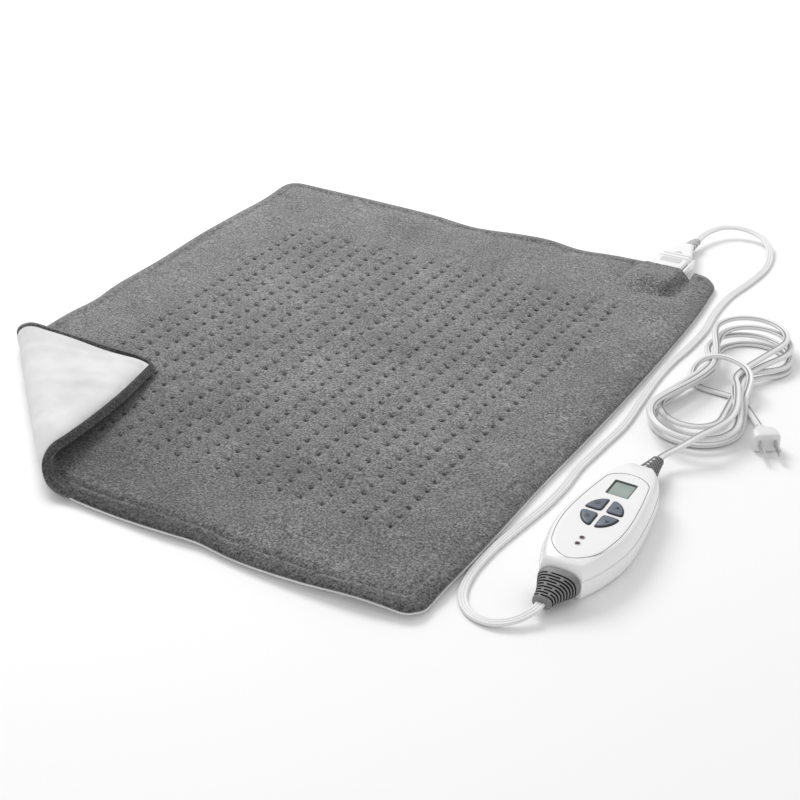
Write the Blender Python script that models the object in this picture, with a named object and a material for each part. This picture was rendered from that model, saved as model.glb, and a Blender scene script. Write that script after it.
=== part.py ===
"""Electric heating pad with a folded corner, detachable cord, hand controller and plug.

Metres, +Z up. The origin is the centre of the pad's underside. The back edge of the pad
runs along X at +Y, and the cord set lies to its right, at +X.
"""
import math

import bmesh
import bpy
from mathutils import Matrix, Vector

MM = 0.001
GAP = 0.3 * MM                      # clearance between neighbouring solids

# Pad: two covers round two felts and the heating wire
PAD_WIDTH = 508 * MM
PAD_LENGTH = 610 * MM
PAD_CORNER_RADIUS = 20 * MM
BOTTOM_COVER_THICKNESS = 1.2 * MM
FELT_THICKNESS = 1.0 * MM
WIRE_RADIUS = 0.8 * MM
TOP_COVER_THICKNESS = 3.0 * MM
HEM_WIDTH = 14 * MM
HEM_ROUND = 2.0 * MM
FELT_MARGIN = 4 * MM

# Folded corner: the fold line starts on the left edge and ends on the front edge
FOLD_START_Y = 185 * MM - PAD_LENGTH / 2
FOLD_END_X = 194 * MM - PAD_WIDTH / 2
FOLD_INNER_RADIUS = 7 * MM
FOLD_ANGLE = math.radians(188)
FOLD_STRIPS = 12
FOLD_CLEARANCE = 5 * MM             # what stays flat ends this far before the fold line

# Heating wire: lanes along Y that lie between the columns of tack points
LANE_PITCH = 19.7 * MM
LANE_MARGINS = 171 * MM             # both together, at the least
LANE_COUNT = 2 * round(math.floor((PAD_WIDTH - LANE_MARGINS) / LANE_PITCH + 1) / 2 - 0.25)
LAST_LANE_X = PAD_WIDTH / 2 - 73.7 * MM
FIRST_LANE_X = LAST_LANE_X - (LANE_COUNT - 1) * LANE_PITCH
LANE_FRONT_Y = 83 * MM - PAD_LENGTH / 2
LANE_BACK_Y = PAD_LENGTH / 2 - 109 * MM
FELT_FRONT_Y = 22 * MM - PAD_LENGTH / 2
FELT_BACK_Y = PAD_LENGTH / 2 - 69 * MM
LEAD_LANE_Y = PAD_LENGTH / 2 - 89 * MM
LEAD_LANE_STEP = 6 * MM
LEAD_BEND = 4 * MM
CRIMP_LENGTH = 8 * MM
CRIMP_RADIUS = 1.0 * MM
CUTOUT_SIZE = Vector((7, 12, 3.4)) * MM
CUTOUT_SPREAD = 8 * MM              # thermal cut-out and fuse, each side of the socket's centre
CUTOUT_TO_SOCKET = 3 * MM

# Socket, sewn in under a pocket at the back edge
SOCKET_WALL = Vector((4.2, 5.0, 2.6)) * MM
NOSE_WIDTH = 24 * MM
NOSE_HEIGHT = 8 * MM
NOSE_TIP_GAP = 2 * MM
CAVITY_HALF_WIDTH = NOSE_WIDTH / 2 + GAP
CAVITY_HALF_HEIGHT = NOSE_HEIGHT / 2 + GAP
SOCKET_HALF_WIDTH = CAVITY_HALF_WIDTH + SOCKET_WALL.x
SOCKET_HALF_HEIGHT = CAVITY_HALF_HEIGHT + SOCKET_WALL.z
SOCKET_X = PAD_WIDTH / 2 - 49 * MM
SOCKET_Z = BOTTOM_COVER_THICKNESS + GAP + SOCKET_HALF_HEIGHT
SOCKET_MOUTH_Y = PAD_LENGTH / 2 - 16 * MM
SOCKET_DEPTH = 30 * MM
SOCKET_FRONT_Y = SOCKET_MOUTH_Y - SOCKET_DEPTH
PIN_COUNT = 3
PIN_SPACING = 8 * MM
PIN_RADIUS = 1.0 * MM
PIN_REACH = 13 * MM
PIN_RECESS = 1.0 * MM               # how far the pins stop short of the back wall's outer face
PIN_HOLE_RADIUS = 1.6 * MM
PIN_HOLE_MARGIN = 3 * MM
POCKET_HALF_WIDTH = SOCKET_HALF_WIDTH + 14.5 * MM
POCKET_WALL = 2.4 * MM
POCKET_HEADROOM = 3.1 * MM          # between the socket and the pocket's lining
POCKET_FRONT_Y = SOCKET_FRONT_Y - 25 * MM
POCKET_BACK_Y = SOCKET_MOUTH_Y + 1.5 * MM
OPENING_HALF_WIDTH = SOCKET_HALF_WIDTH + 7.5 * MM
OPENING_MARGIN = 1 * MM

# Connector on the cord's end
CONNECTOR_FRONT_Y = SOCKET_MOUTH_Y + 2.5 * MM
CONNECTOR_LENGTH = 61.5 * MM
CONNECTOR_WALL = 2.5 * MM
CONNECTOR_CHEEK = 3.4 * MM
CONNECTOR_HALF_WIDTH = NOSE_WIDTH / 2 + CONNECTOR_CHEEK
CONNECTOR_BOTTOM_Z = SOCKET_Z - CAVITY_HALF_HEIGHT - CONNECTOR_WALL
CONNECTOR_TOP_Z = SOCKET_Z + CAVITY_HALF_HEIGHT + CONNECTOR_WALL
CONNECTOR_EDGE_ROUND = 1.6 * MM
CONNECTOR_BACK_HALF_WIDTH = 6.4 * MM
CONNECTOR_BACK_Y = CONNECTOR_FRONT_Y + CONNECTOR_LENGTH
WIREWAY_HALF_WIDTH = 4 * MM
WIREWAY_HALF_HEIGHT = 3.2 * MM
WIREWAY_END = 9 * MM                # before the connector's back
CARRIER_INSERT = 9 * MM             # how far the contact carrier sits inside the shells
RELIEF_LENGTH = 21 * MM
RELIEF_LEAN = 2 * MM
RELIEF_NECK = Vector((4.0, 6.0, 3.0)) * MM
LATCH_THICKNESS = 2.0 * MM
LATCH_HEIGHT = 7.0 * MM
LATCH_NOSE = 28 * MM
LATCH_TAIL = 11 * MM
LATCH_PIVOT_Y = CONNECTOR_FRONT_Y + 20.5 * MM
LATCH_SIDE_GAP = 1.5 * MM
LATCH_SOCKET_GAP = 0.4 * MM
LATCH_KNUCKLE = 2.6 * MM
LATCH_KNUCKLE_DEPTH = 2.0 * MM      # how far it reaches into the connector's cheek
LATCH_POCKET_DEPTH = 2.9 * MM

# Hand controller
CONTROLLER_X = PAD_WIDTH / 2 + 78.5 * MM
CONTROLLER_FRONT_Y = -228 * MM
CONTROLLER_LENGTH = 151 * MM
CONTROLLER_BACK_Y = CONTROLLER_FRONT_Y + CONTROLLER_LENGTH
CONTROLLER_HEIGHT = 29 * MM
PARTING_Z = 13 * MM
SHELL_WALL = 2.0 * MM
ROOF_THICKNESS = 2.8 * MM
ROOF_Z = CONTROLLER_HEIGHT - ROOF_THICKNESS
PLATE_THICKNESS = 0.6 * MM
PLATE_RECESS = 0.8 * MM
PLATE_INSET = 10.0 * MM
DISPLAY_CENTRE_Y = CONTROLLER_FRONT_Y + 107 * MM
DISPLAY_WIDTH = 18 * MM
DISPLAY_LENGTH = 20 * MM
DISPLAY_BEZEL = 3 * MM
WINDOW_THICKNESS = 1.9 * MM
KEYPAD_CENTRE_Y = CONTROLLER_FRONT_Y + 70.5 * MM
KEYPAD_HALF_WIDTH = 15.0 * MM
KEYPAD_HALF_LENGTH = 19.5 * MM
KEYPAD_CROSS = 3.4 * MM
BUTTON_PROUD = 1.2 * MM
BUTTON_TRAVEL = 0.8 * MM
BUTTON_FLANGE = 0.9 * MM
BUTTON_SIDE_GAP = 0.3 * MM
LAMP_Y = (CONTROLLER_FRONT_Y + 35 * MM, CONTROLLER_FRONT_Y + 27 * MM)
LAMP_RADIUS = 1.6 * MM
LAMP_PROUD = 0.6 * MM
BOARD_TOP_Z = ROOF_Z - 7.1 * MM
BOARD_THICKNESS = 1.6 * MM
BOARD_HALF_WIDTH = 14.4 * MM
BOARD_FRONT_Y = CONTROLLER_FRONT_Y + 16 * MM
BOARD_BACK_Y = CONTROLLER_BACK_Y - 20 * MM
BOARD_RIB_INSET = 24 * MM
BOARD_RIB_HALF_LENGTH = 11 * MM
SWITCH_SIZE = 6 * MM
BOSS_RADIUS = 2.8 * MM
SCREW_RADIUS = 1.2 * MM
SCREW_HEAD_RADIUS = 2.2 * MM
SCREW_HEAD_HEIGHT = 1.6 * MM
SCREW_TIP_Z = PARTING_Z + 6 * MM
COUNTERBORE_DEPTH = 3.4 * MM
SCREW_PLACES = ((20 * MM, CONTROLLER_FRONT_Y + 32 * MM), (18 * MM, CONTROLLER_BACK_Y - 35 * MM))
BOOT_NECK_HALF_WIDTH = 6.0 * MM
BOOT_NECK_HALF_HEIGHT = 5.0 * MM
BOOT_FLANGE_STEP = 1.0 * MM
BOOT_FLANGE_THICKNESS = 2.0 * MM
BOOT_FLANGE_INSET = SHELL_WALL + 1.3 * MM
FRONT_BOOT_LENGTH = 25 * MM
REAR_BOOT_LENGTH = 32 * MM
FRONT_BOOT_Z = PARTING_Z + 0.5 * MM
REAR_BOOT_Z = PARTING_Z
FRONT_BOOT_LEAN = (-3.0 * MM, -4.5 * MM)    # how far the tip leans in X and Z
REAR_BOOT_LEAN = (0.0, -1.0 * MM)

# Cords and plug
CORD_RADIUS = 2.6 * MM
STRAIGHT_EXIT = 6 * MM
CONDUCTOR_RADIUS = 1.2 * MM
PLUG_AIM = Vector((0.54, -0.84, 0.0)).normalized()
PLUG_WIDTH = 22 * MM
PLUG_HEIGHT = 16 * MM
PLUG_BODY_LENGTH = 17 * MM
PLUG_RELIEF_LENGTH = 8 * MM
BLADE_SPACING = 12.7 * MM
BLADE_LENGTH = 17 * MM
BLADE_WIDTH = 6.3 * MM
BLADE_THICKNESS = 1.5 * MM
BLADE_ROOT = 3 * MM
HANK_CENTRE_X = PAD_WIDTH / 2 + 79 * MM
HANK_FRONT_Y = CONTROLLER_BACK_Y + 63 * MM
HANK_LENGTH = 236 * MM
HANK_HALF_WIDTH = 42 * MM
HANK_WAIST = 0.66
HANK_HEIGHT = 25 * MM
HANK_END_HALF_WIDTH = 9 * MM
HANK_EDGE_SLOPE = Vector((5, 6)) * MM       # inwards and down, round the top
HANK_ENTRY_SHIFT = 5 * MM
HANK_EXIT_Z = 7 * MM
PLUG_FACE = Vector((PAD_WIDTH / 2 + 143.7 * MM, HANK_FRONT_Y + 43.7 * MM, 8.5 * MM))

# Routes of the free cords, in millimetres, chosen by hand
PAD_LEAD_ROUTE = (
    (208.6, 390.0, 9.8), (212.6, 403.0, 10.6), (221.0, 416.0, 11.2), (235.0, 423.0, 11.0),
    (250.0, 423.0, 9.6), (264.0, 417.0, 7.6), (274.0, 406.5, 5.4), (280.0, 392.0, 3.8),
    (284.0, 376.0, 2.8), (285.5, 357.0, 2.7), (284.0, 336.0, 2.7), (280.6, 312.0, 2.7),
    (276.4, 288.0, 2.7), (275.0, 262.0, 2.7), (276.4, 234.0, 2.7), (279.6, 204.0, 2.7),
    (279.2, 168.0, 2.7), (275.8, 128.0, 2.7), (275.6, 91.0, 2.7), (278.6, 50.0, 2.7),
    (281.6, 8.0, 2.7), (278.8, -33.0, 2.7), (276.4, -70.0, 2.7), (277.6, -102.0, 2.7),
    (276.0, -135.0, 2.7), (271.4, -170.0, 2.7), (267.2, -205.0, 2.7), (267.4, -238.0, 2.7),
    (274.0, -264.0, 2.7), (288.0, -279.0, 2.8), (305.0, -282.0, 3.6), (319.0, -275.0, 5.4),
    (327.4, -264.0, 7.6),
)
MAINS_RUN_ROUTE = ((334.4, -32.0, 12.2), (337.2, -26.0, 12.4))
PLUG_LEAD_ROUTE = ((370.6, 98.0, 7.0), (373.0, 88.0, 7.0), (373.8, 77.0, 7.4), (376.2, 68.0, 8.0))

COLOURS = {
    "plush": ((0.150, 0.150, 0.155), 0.95, 0.0),
    "backing": ((0.82, 0.82, 0.83), 0.75, 0.0),
    "felt": ((0.75, 0.74, 0.70), 0.95, 0.0),
    "wire": ((0.80, 0.78, 0.70), 0.55, 0.0),
    "brass": ((0.72, 0.55, 0.24), 0.30, 1.0),
    "steel": ((0.62, 0.63, 0.65), 0.28, 1.0),
    "white_plastic": ((0.86, 0.86, 0.86), 0.28, 0.0),
    "white_vinyl": ((0.85, 0.85, 0.85), 0.40, 0.0),
    "grey_rubber": ((0.14, 0.15, 0.16), 0.55, 0.0),
    "slate_button": ((0.16, 0.18, 0.22), 0.40, 0.0),
    "display": ((0.38, 0.46, 0.42), 0.25, 0.0),
    "lamp": ((0.16, 0.02, 0.02), 0.20, 0.0),
    "board": ((0.05, 0.22, 0.10), 0.50, 0.0),
    "black_part": ((0.03, 0.03, 0.03), 0.45, 0.0),
    "film_case": ((0.55, 0.36, 0.06), 0.35, 0.0),
}


# ---------------------------------------------------------------- shared helpers

def clear_scene():
    for obj in list(bpy.data.objects):
        bpy.data.objects.remove(obj, do_unlink=True)


def make_material(key):
    existing = bpy.data.materials.get(key)
    if existing:
        return existing
    colour, roughness, metallic = COLOURS[key]
    material = bpy.data.materials.new(key)
    material.use_nodes = True
    shader = material.node_tree.nodes["Principled BSDF"]
    shader.inputs["Base Color"].default_value = (*colour, 1.0)
    shader.inputs["Roughness"].default_value = roughness
    shader.inputs["Metallic"].default_value = metallic
    return material


def add_object(name, bm, key, parent=None):
    """Turn a bmesh into an object, with its faces pointing out."""
    bmesh.ops.remove_doubles(bm, verts=bm.verts[:], dist=1e-6)
    bmesh.ops.recalc_face_normals(bm, faces=bm.faces[:])
    mesh = bpy.data.meshes.new(name)
    bm.to_mesh(mesh)
    bm.free()
    mesh.shade_smooth()
    mesh.set_sharp_from_angle(angle=math.radians(35))
    mesh.materials.append(make_material(key))
    obj = bpy.data.objects.new(name, mesh)
    bpy.context.scene.collection.objects.link(obj)
    if parent:
        mesh.transform(Matrix.Translation(-parent.location))
        obj.parent = parent
    return obj


def add_pivot(name, place):
    pivot = bpy.data.objects.new(name, None)
    pivot.location = place
    bpy.context.scene.collection.objects.link(pivot)
    return pivot


def loft(bm, rings):
    """Join rings of equal point counts into one closed body with flat ends."""
    loops = [[bm.verts.new(point) for point in ring] for ring in rings]
    count = len(loops[0])
    bm.faces.new(loops[0])
    bm.faces.new(loops[-1])
    for lower, upper in zip(loops, loops[1:]):
        for i in range(count):
            j = (i + 1) % count
            bm.faces.new((lower[i], lower[j], upper[j], upper[i]))


def loft_object(name, rings, key, parent=None):
    bm = bmesh.new()
    loft(bm, rings)
    return add_object(name, bm, key, parent)


def at_height(outline, z):
    return [Vector((x, y, z)) for x, y in outline]


def box_object(name, low, high, key, parent=None):
    bm = bmesh.new()
    bmesh.ops.create_cube(bm, size=1.0)
    low, high = Vector(low), Vector(high)
    bmesh.ops.scale(bm, verts=bm.verts[:], vec=high - low)
    bmesh.ops.translate(bm, verts=bm.verts[:], vec=(low + high) / 2)
    return add_object(name, bm, key, parent)


def cylinder_object(name, start, end, radius, key, sides=12, parent=None):
    start, end = Vector(start), Vector(end)
    bm = bmesh.new()
    turn = (end - start).to_track_quat("Z", "Y").to_matrix().to_4x4()
    place = Matrix.Translation((start + end) / 2) @ turn
    bmesh.ops.create_cone(bm, cap_ends=True, segments=sides, radius1=radius, radius2=radius,
                          depth=(end - start).length, matrix=place)
    return add_object(name, bm, key, parent)


def cut(target, cutter, operation="DIFFERENCE"):
    """Cut with, or join, another object, which is then hidden."""
    modifier = target.modifiers.new(cutter.name, "BOOLEAN")
    modifier.operation = operation
    modifier.solver = "EXACT"
    modifier.object = cutter
    cutter.hide_render = True
    cutter.display_type = "WIRE"


def rounded_rectangle(half_x, half_y, radius, centre=(0.0, 0.0), steps=6):
    outline = []
    for quarter, (sx, sy) in enumerate(((1, 1), (-1, 1), (-1, -1), (1, -1))):
        for step in range(steps + 1):
            angle = math.radians(90 * (quarter + step / steps))
            outline.append((centre[0] + sx * (half_x - radius) + radius * math.cos(angle),
                            centre[1] + sy * (half_y - radius) + radius * math.sin(angle)))
    return outline


def offset_outline(outline, distance):
    """Move a counter-clockwise outline inwards along its mean normals."""
    count = len(outline)
    moved = []
    for i in range(count):
        before = Vector(outline[i - 1])
        here = Vector(outline[i])
        after = Vector(outline[(i + 1) % count])
        first = (here - before).normalized()
        second = (after - here).normalized()
        normal = Vector((-first.y - second.y, first.x + second.x)).normalized()
        reach = distance / max(0.5, normal.dot(Vector((-first.y, first.x))))
        moved.append((here.x + normal.x * reach, here.y + normal.y * reach))
    return moved


def smooth_values(stations, count):
    """Sample (position, value) stations on a smooth curve through them."""
    samples = []
    first, last = stations[0][0], stations[-1][0]
    for i in range(count):
        position = first + (last - first) * i / (count - 1)
        k = max(j for j in range(len(stations) - 1) if stations[j][0] <= position + 1e-12)
        p1, p2 = stations[k], stations[k + 1]
        p0 = stations[max(k - 1, 0)]
        p3 = stations[min(k + 2, len(stations) - 1)]
        span = p2[0] - p1[0]
        t = (position - p1[0]) / span
        slope1 = (p2[1] - p0[1]) / (p2[0] - p0[0]) * span
        slope2 = (p3[1] - p1[1]) / (p3[0] - p1[0]) * span
        value = ((2 * t**3 - 3 * t**2 + 1) * p1[1] + (t**3 - 2 * t**2 + t) * slope1
                 + (3 * t**2 - 2 * t**3) * p2[1] + (t**3 - t**2) * slope2)
        samples.append((position, value))
    return samples


def mirrored_outline(stations, centre_x, count):
    """A counter-clockwise outline, symmetric about X = centre_x, from half-widths along Y."""
    samples = smooth_values(stations, count)
    right = [(centre_x + half, y) for y, half in samples]
    left = [(centre_x - half, y) for y, half in reversed(samples)]
    return right + left


def superellipse(centre, half_x, half_z, power=2.6, sides=20):
    """A ring in the XZ plane."""
    ring = []
    for i in range(sides):
        angle = 2 * math.pi * i / sides
        c, s = math.cos(angle), math.sin(angle)
        ring.append(Vector((centre[0] + half_x * math.copysign(abs(c) ** (2 / power), c),
                            centre[1],
                            centre[2] + half_z * math.copysign(abs(s) ** (2 / power), s))))
    return ring


def smooth_route(points, spacing):
    """Points at an even spacing on a Catmull-Rom curve through the given points."""
    dense = []
    for i in range(len(points) - 1):
        p1, p2 = points[i], points[i + 1]
        p0 = points[i - 1] if i else p1 - (p2 - p1)
        p3 = points[i + 2] if i + 2 < len(points) else p2 + (p2 - p1)
        for step in range(24):
            t = step / 24
            dense.append(0.5 * (2 * p1 + (p2 - p0) * t + (2 * p0 - 5 * p1 + 4 * p2 - p3) * t**2
                                + (3 * p1 - p0 - 3 * p2 + p3) * t**3))
    dense.append(points[-1])
    total = sum((b - a).length for a, b in zip(dense, dense[1:]))
    count = max(2, round(total / spacing))
    route = [dense[0]]
    travelled, target = 0.0, total / count
    for a, b in zip(dense, dense[1:]):
        length = (b - a).length
        while travelled + length >= target - 1e-9 and len(route) < count:
            route.append(a.lerp(b, (target - travelled) / length))
            target += total / count
        travelled += length
    route.append(dense[-1])
    return route


def tube_object(name, points, radius, key, resolution=2):
    curve = bpy.data.curves.new(name, "CURVE")
    curve.dimensions = "3D"
    curve.bevel_depth = radius
    curve.bevel_resolution = resolution
    curve.use_fill_caps = True
    spline = curve.splines.new("POLY")
    spline.points.add(len(points) - 1)
    for spot, point in zip(spline.points, points):
        spot.co = (*point, 1.0)
    curve.materials.append(make_material(key))
    obj = bpy.data.objects.new(name, curve)
    bpy.context.scene.collection.objects.link(obj)
    return obj


# ---------------------------------------------------------------- pad

def layer_heights():
    """Heights of the pad's layers, from the underside up."""
    heights = {"bottom_top": BOTTOM_COVER_THICKNESS}
    heights["lower_felt"] = BOTTOM_COVER_THICKNESS + GAP
    heights["wire"] = heights["lower_felt"] + FELT_THICKNESS + GAP + WIRE_RADIUS
    heights["upper_felt"] = heights["wire"] + WIRE_RADIUS + GAP
    heights["cover_under"] = heights["upper_felt"] + FELT_THICKNESS + GAP
    heights["cover_top"] = heights["cover_under"] + TOP_COVER_THICKNESS
    return heights


def fold_frame():
    """Start point, direction along the fold line and direction across it, to the corner."""
    start = Vector((-PAD_WIDTH / 2, FOLD_START_Y))
    end = Vector((FOLD_END_X, -PAD_LENGTH / 2))
    along = (end - start).normalized()
    across = Vector((along.y, -along.x))
    return start, along, across


def fold_front_y(x):
    """Where the fold line passes at this X."""
    start, along, _ = fold_frame()
    return start.y + (x - start.x) * along.y / along.x


def fold_corner(bm):
    """Split the sheet into strips across the fold, and roll the corner over."""
    start, along, across = fold_frame()
    centre_z = layer_heights()["cover_top"] + FOLD_INNER_RADIUS
    neutral = centre_z - layer_heights()["cover_top"] / 2
    normal = Vector((across.x, across.y, 0))
    for strip in range(FOLD_STRIPS + 1):
        distance = neutral * FOLD_ANGLE * strip / FOLD_STRIPS
        spot = Vector((start.x, start.y, 0)) + normal * distance
        geometry = bm.verts[:] + bm.edges[:] + bm.faces[:]
        bmesh.ops.bisect_plane(bm, geom=geometry, plane_co=spot, plane_no=normal, dist=1e-6)
    for vert in bm.verts:
        flat = Vector((vert.co.x, vert.co.y))
        distance = (flat - start).dot(across)
        if distance <= 1e-7:
            continue
        radius = centre_z - vert.co.z
        angle = min(distance / neutral, FOLD_ANGLE)
        beyond = max(distance - neutral * FOLD_ANGLE, 0.0)
        out = radius * math.sin(angle) + beyond * math.cos(angle)
        spot = start + along * (flat - start).dot(along) + across * out
        height = centre_z - radius * math.cos(angle) + beyond * math.sin(angle)
        vert.co = (spot.x, spot.y, height)


def build_covers():
    heights = layer_heights()
    outline = rounded_rectangle(PAD_WIDTH / 2, PAD_LENGTH / 2, PAD_CORNER_RADIUS)
    inner = offset_outline(outline, HEM_WIDTH)
    half_round = HEM_ROUND / 2
    rings = [
        at_height(inner, heights["cover_under"]),
        at_height(inner, heights["lower_felt"]),
        at_height(offset_outline(outline, half_round), heights["lower_felt"]),
        at_height(outline, heights["lower_felt"] + HEM_ROUND),
        at_height(outline, heights["cover_top"] - HEM_ROUND),
        at_height(offset_outline(outline, HEM_ROUND), heights["cover_top"]),
    ]
    bm = bmesh.new()
    loft(bm, rings)
    fold_corner(bm)
    top_cover = add_object("top_cover", bm, "plush")
    opening_front = SOCKET_FRONT_Y - SOCKET_WALL.y - OPENING_MARGIN
    opening = box_object("socket_opening_cutter", (SOCKET_X - OPENING_HALF_WIDTH, opening_front, 0.0),
                         (SOCKET_X + OPENING_HALF_WIDTH, PAD_LENGTH, PAD_WIDTH), "plush")
    cut(top_cover, opening)

    bm = bmesh.new()
    loft(bm, [at_height(outline, 0.0), at_height(outline, heights["bottom_top"])])
    fold_corner(bm)
    add_object("bottom_cover", bm, "backing")


def felt_outline():
    """A rectangle whose front left corner is cut off along the fold."""
    margin = HEM_WIDTH + FELT_MARGIN
    left = -PAD_WIDTH / 2 + margin
    right = -left
    _, along, across = fold_frame()
    shift = FOLD_CLEARANCE / abs(across.y)
    corner_y = fold_front_y(left) + shift
    corner_x = left + (FELT_FRONT_Y - corner_y) * along.x / along.y
    return [(corner_x, FELT_FRONT_Y), (right, FELT_FRONT_Y), (right, FELT_BACK_Y),
            (left, FELT_BACK_Y), (left, corner_y)]


def build_felts():
    heights = layer_heights()
    for name in ("lower_felt", "upper_felt"):
        outline = felt_outline()
        low = heights[name]
        loft_object(name, [at_height(outline, low), at_height(outline, low + FELT_THICKNESS)], "felt")


def lane_front_y(x):
    """The front end of a lane, kept clear of the fold."""
    _, _, across = fold_frame()
    clear = (FOLD_CLEARANCE + LANE_PITCH / 2) / abs(across.y)
    return max(LANE_FRONT_Y, fold_front_y(x) + clear)


def build_heating_wire():
    """One wire up and down the lanes, with half-round turns between them."""
    height = layer_heights()["wire"]
    turn_radius = LANE_PITCH / 2
    points = [Vector((FIRST_LANE_X, LANE_BACK_Y, height))]
    for lane in range(LANE_COUNT - 1):
        x = FIRST_LANE_X + lane * LANE_PITCH
        forward = lane % 2 == 0
        end_y = lane_front_y(x) if forward else LANE_BACK_Y - turn_radius
        side = -1 if forward else 1
        for step in range(7):
            angle = math.pi * step / 6
            points.append(Vector((x + turn_radius * (1 - math.cos(angle)),
                                  end_y + side * turn_radius * math.sin(angle), height)))
    points.append(Vector((LAST_LANE_X, LANE_BACK_Y, height)))
    tube_object("heating_wire", points, WIRE_RADIUS, "wire", resolution=1)


def build_pad_leads():
    """Crimps, leads, thermal cut-out and fuse between the wire's ends and the socket."""
    height = layer_heights()["wire"]
    socket_back = SOCKET_FRONT_Y - SOCKET_WALL.y
    cutout_back = socket_back - CUTOUT_TO_SOCKET
    cutout_front = cutout_back - CUTOUT_SIZE.y
    rows = (("long", FIRST_LANE_X, LEAD_LANE_Y + LEAD_LANE_STEP, -CUTOUT_SPREAD, "thermal_cutout"),
            ("short", LAST_LANE_X, LEAD_LANE_Y, CUTOUT_SPREAD, "thermal_fuse"))
    for label, x, lane_y, offset, device in rows:
        crimp_start = LANE_BACK_Y + GAP
        crimp_end = crimp_start + CRIMP_LENGTH
        cylinder_object(f"crimp_{label}", (x, crimp_start, height), (x, crimp_end, height),
                        CRIMP_RADIUS, "brass", sides=8)
        device_x = SOCKET_X + offset
        points = [Vector((x, crimp_end + GAP, height)), Vector((x, lane_y - LEAD_BEND, height)),
                  Vector((x + LEAD_BEND, lane_y, height)), Vector((device_x - LEAD_BEND, lane_y, height)),
                  Vector((device_x, lane_y + LEAD_BEND, height)),
                  Vector((device_x, cutout_front - GAP, height))]
        tube_object(f"lead_{label}", points, WIRE_RADIUS, "wire", resolution=1)
        low = Vector((device_x - CUTOUT_SIZE.x / 2, cutout_front, height - CUTOUT_SIZE.z / 2))
        box_object(device, low, low + CUTOUT_SIZE, "black_part")
        tube_object(f"jumper_{label}",
                    [Vector((device_x, cutout_back + GAP, height)),
                     Vector((device_x, socket_back - GAP, height))],
                    WIRE_RADIUS, "wire", resolution=1)


# ---------------------------------------------------------------- socket and pocket

def pin_places():
    first = -(PIN_COUNT - 1) / 2
    return [SOCKET_X + (first + i) * PIN_SPACING for i in range(PIN_COUNT)]


def build_socket():
    """A cup that opens towards +Y, with round pins through its back wall."""
    half_x, half_z = CAVITY_HALF_WIDTH, CAVITY_HALF_HEIGHT
    back = SOCKET_FRONT_Y - SOCKET_WALL.y
    shell = box_object("socket_shell",
                       (SOCKET_X - SOCKET_HALF_WIDTH, back, SOCKET_Z - SOCKET_HALF_HEIGHT),
                       (SOCKET_X + SOCKET_HALF_WIDTH, SOCKET_MOUTH_Y, SOCKET_Z + SOCKET_HALF_HEIGHT),
                       "white_plastic")
    cut(shell, box_object("socket_cavity_cutter", (SOCKET_X - half_x, SOCKET_FRONT_Y, SOCKET_Z - half_z),
                          (SOCKET_X + half_x, SOCKET_MOUTH_Y + MM, SOCKET_Z + half_z), "white_plastic"))
    pin_seat = back + PIN_RECESS
    for number, x in enumerate(pin_places(), start=1):
        cut(shell, cylinder_object(f"pin_hole_{number}_cutter", (x, pin_seat, SOCKET_Z),
                                   (x, SOCKET_FRONT_Y + MM, SOCKET_Z), PIN_RADIUS + GAP, "brass"))
        cylinder_object(f"socket_pin_{number}", (x, pin_seat + GAP, SOCKET_Z),
                        (x, SOCKET_FRONT_Y + PIN_REACH, SOCKET_Z), PIN_RADIUS, "brass")


def arch_ring(y, half_width, height, base, steps=12, power=3.0):
    """A rounded arch over a flat base, in the XZ plane."""
    ring = []
    for step in range(steps + 1):
        angle = math.pi * step / steps
        c, s = math.cos(angle), max(math.sin(angle), 0.0)
        ring.append(Vector((SOCKET_X + half_width * math.copysign(abs(c) ** (2 / power), c), y,
                            base + height * s ** (2 / power))))
    return ring


def build_pocket():
    """The plush cover over the socket: a low dome, open at the back."""
    base = layer_heights()["cover_top"] + GAP
    full_height = SOCKET_Z + SOCKET_HALF_HEIGHT + POCKET_HEADROOM + POCKET_WALL - base
    rows = ((0.0, 0.66, 0.12), (0.10, 0.84, 0.45), (0.28, 0.96, 0.82), (0.55, 1.0, 0.97), (1.0, 1.0, 1.0))
    depth = POCKET_BACK_Y - POCKET_FRONT_Y
    rings = [arch_ring(POCKET_FRONT_Y + share * depth, wide * POCKET_HALF_WIDTH, tall * full_height, base)
             for share, wide, tall in rows]
    pocket = loft_object("socket_pocket", rings, "plush")
    inner_rows = ((0.16, 0.84, 0.5), (0.30, 0.96, 0.8), (0.55, 1.0, 0.97), (1.0 + MM / depth, 1.0, 1.0))
    inner_rings = [arch_ring(POCKET_FRONT_Y + share * depth, wide * POCKET_HALF_WIDTH - POCKET_WALL,
                             tall * full_height + MM - POCKET_WALL, base - MM)
                   for share, wide, tall in inner_rows]
    cut(pocket, loft_object("pocket_inner_cutter", inner_rings, "plush"))


# ---------------------------------------------------------------- connector

def connector_outline():
    wide = CONNECTOR_HALF_WIDTH
    rows = ((0.0, wide), (0.22, wide), (0.45, wide), (0.56, 0.93 * wide), (0.78, 0.66 * wide),
            (0.95, CONNECTOR_BACK_HALF_WIDTH + 0.4 * MM), (1.0, CONNECTOR_BACK_HALF_WIDTH))
    stations = [(CONNECTOR_FRONT_Y + share * CONNECTOR_LENGTH, half) for share, half in rows]
    return mirrored_outline(stations, SOCKET_X, 13)


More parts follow.
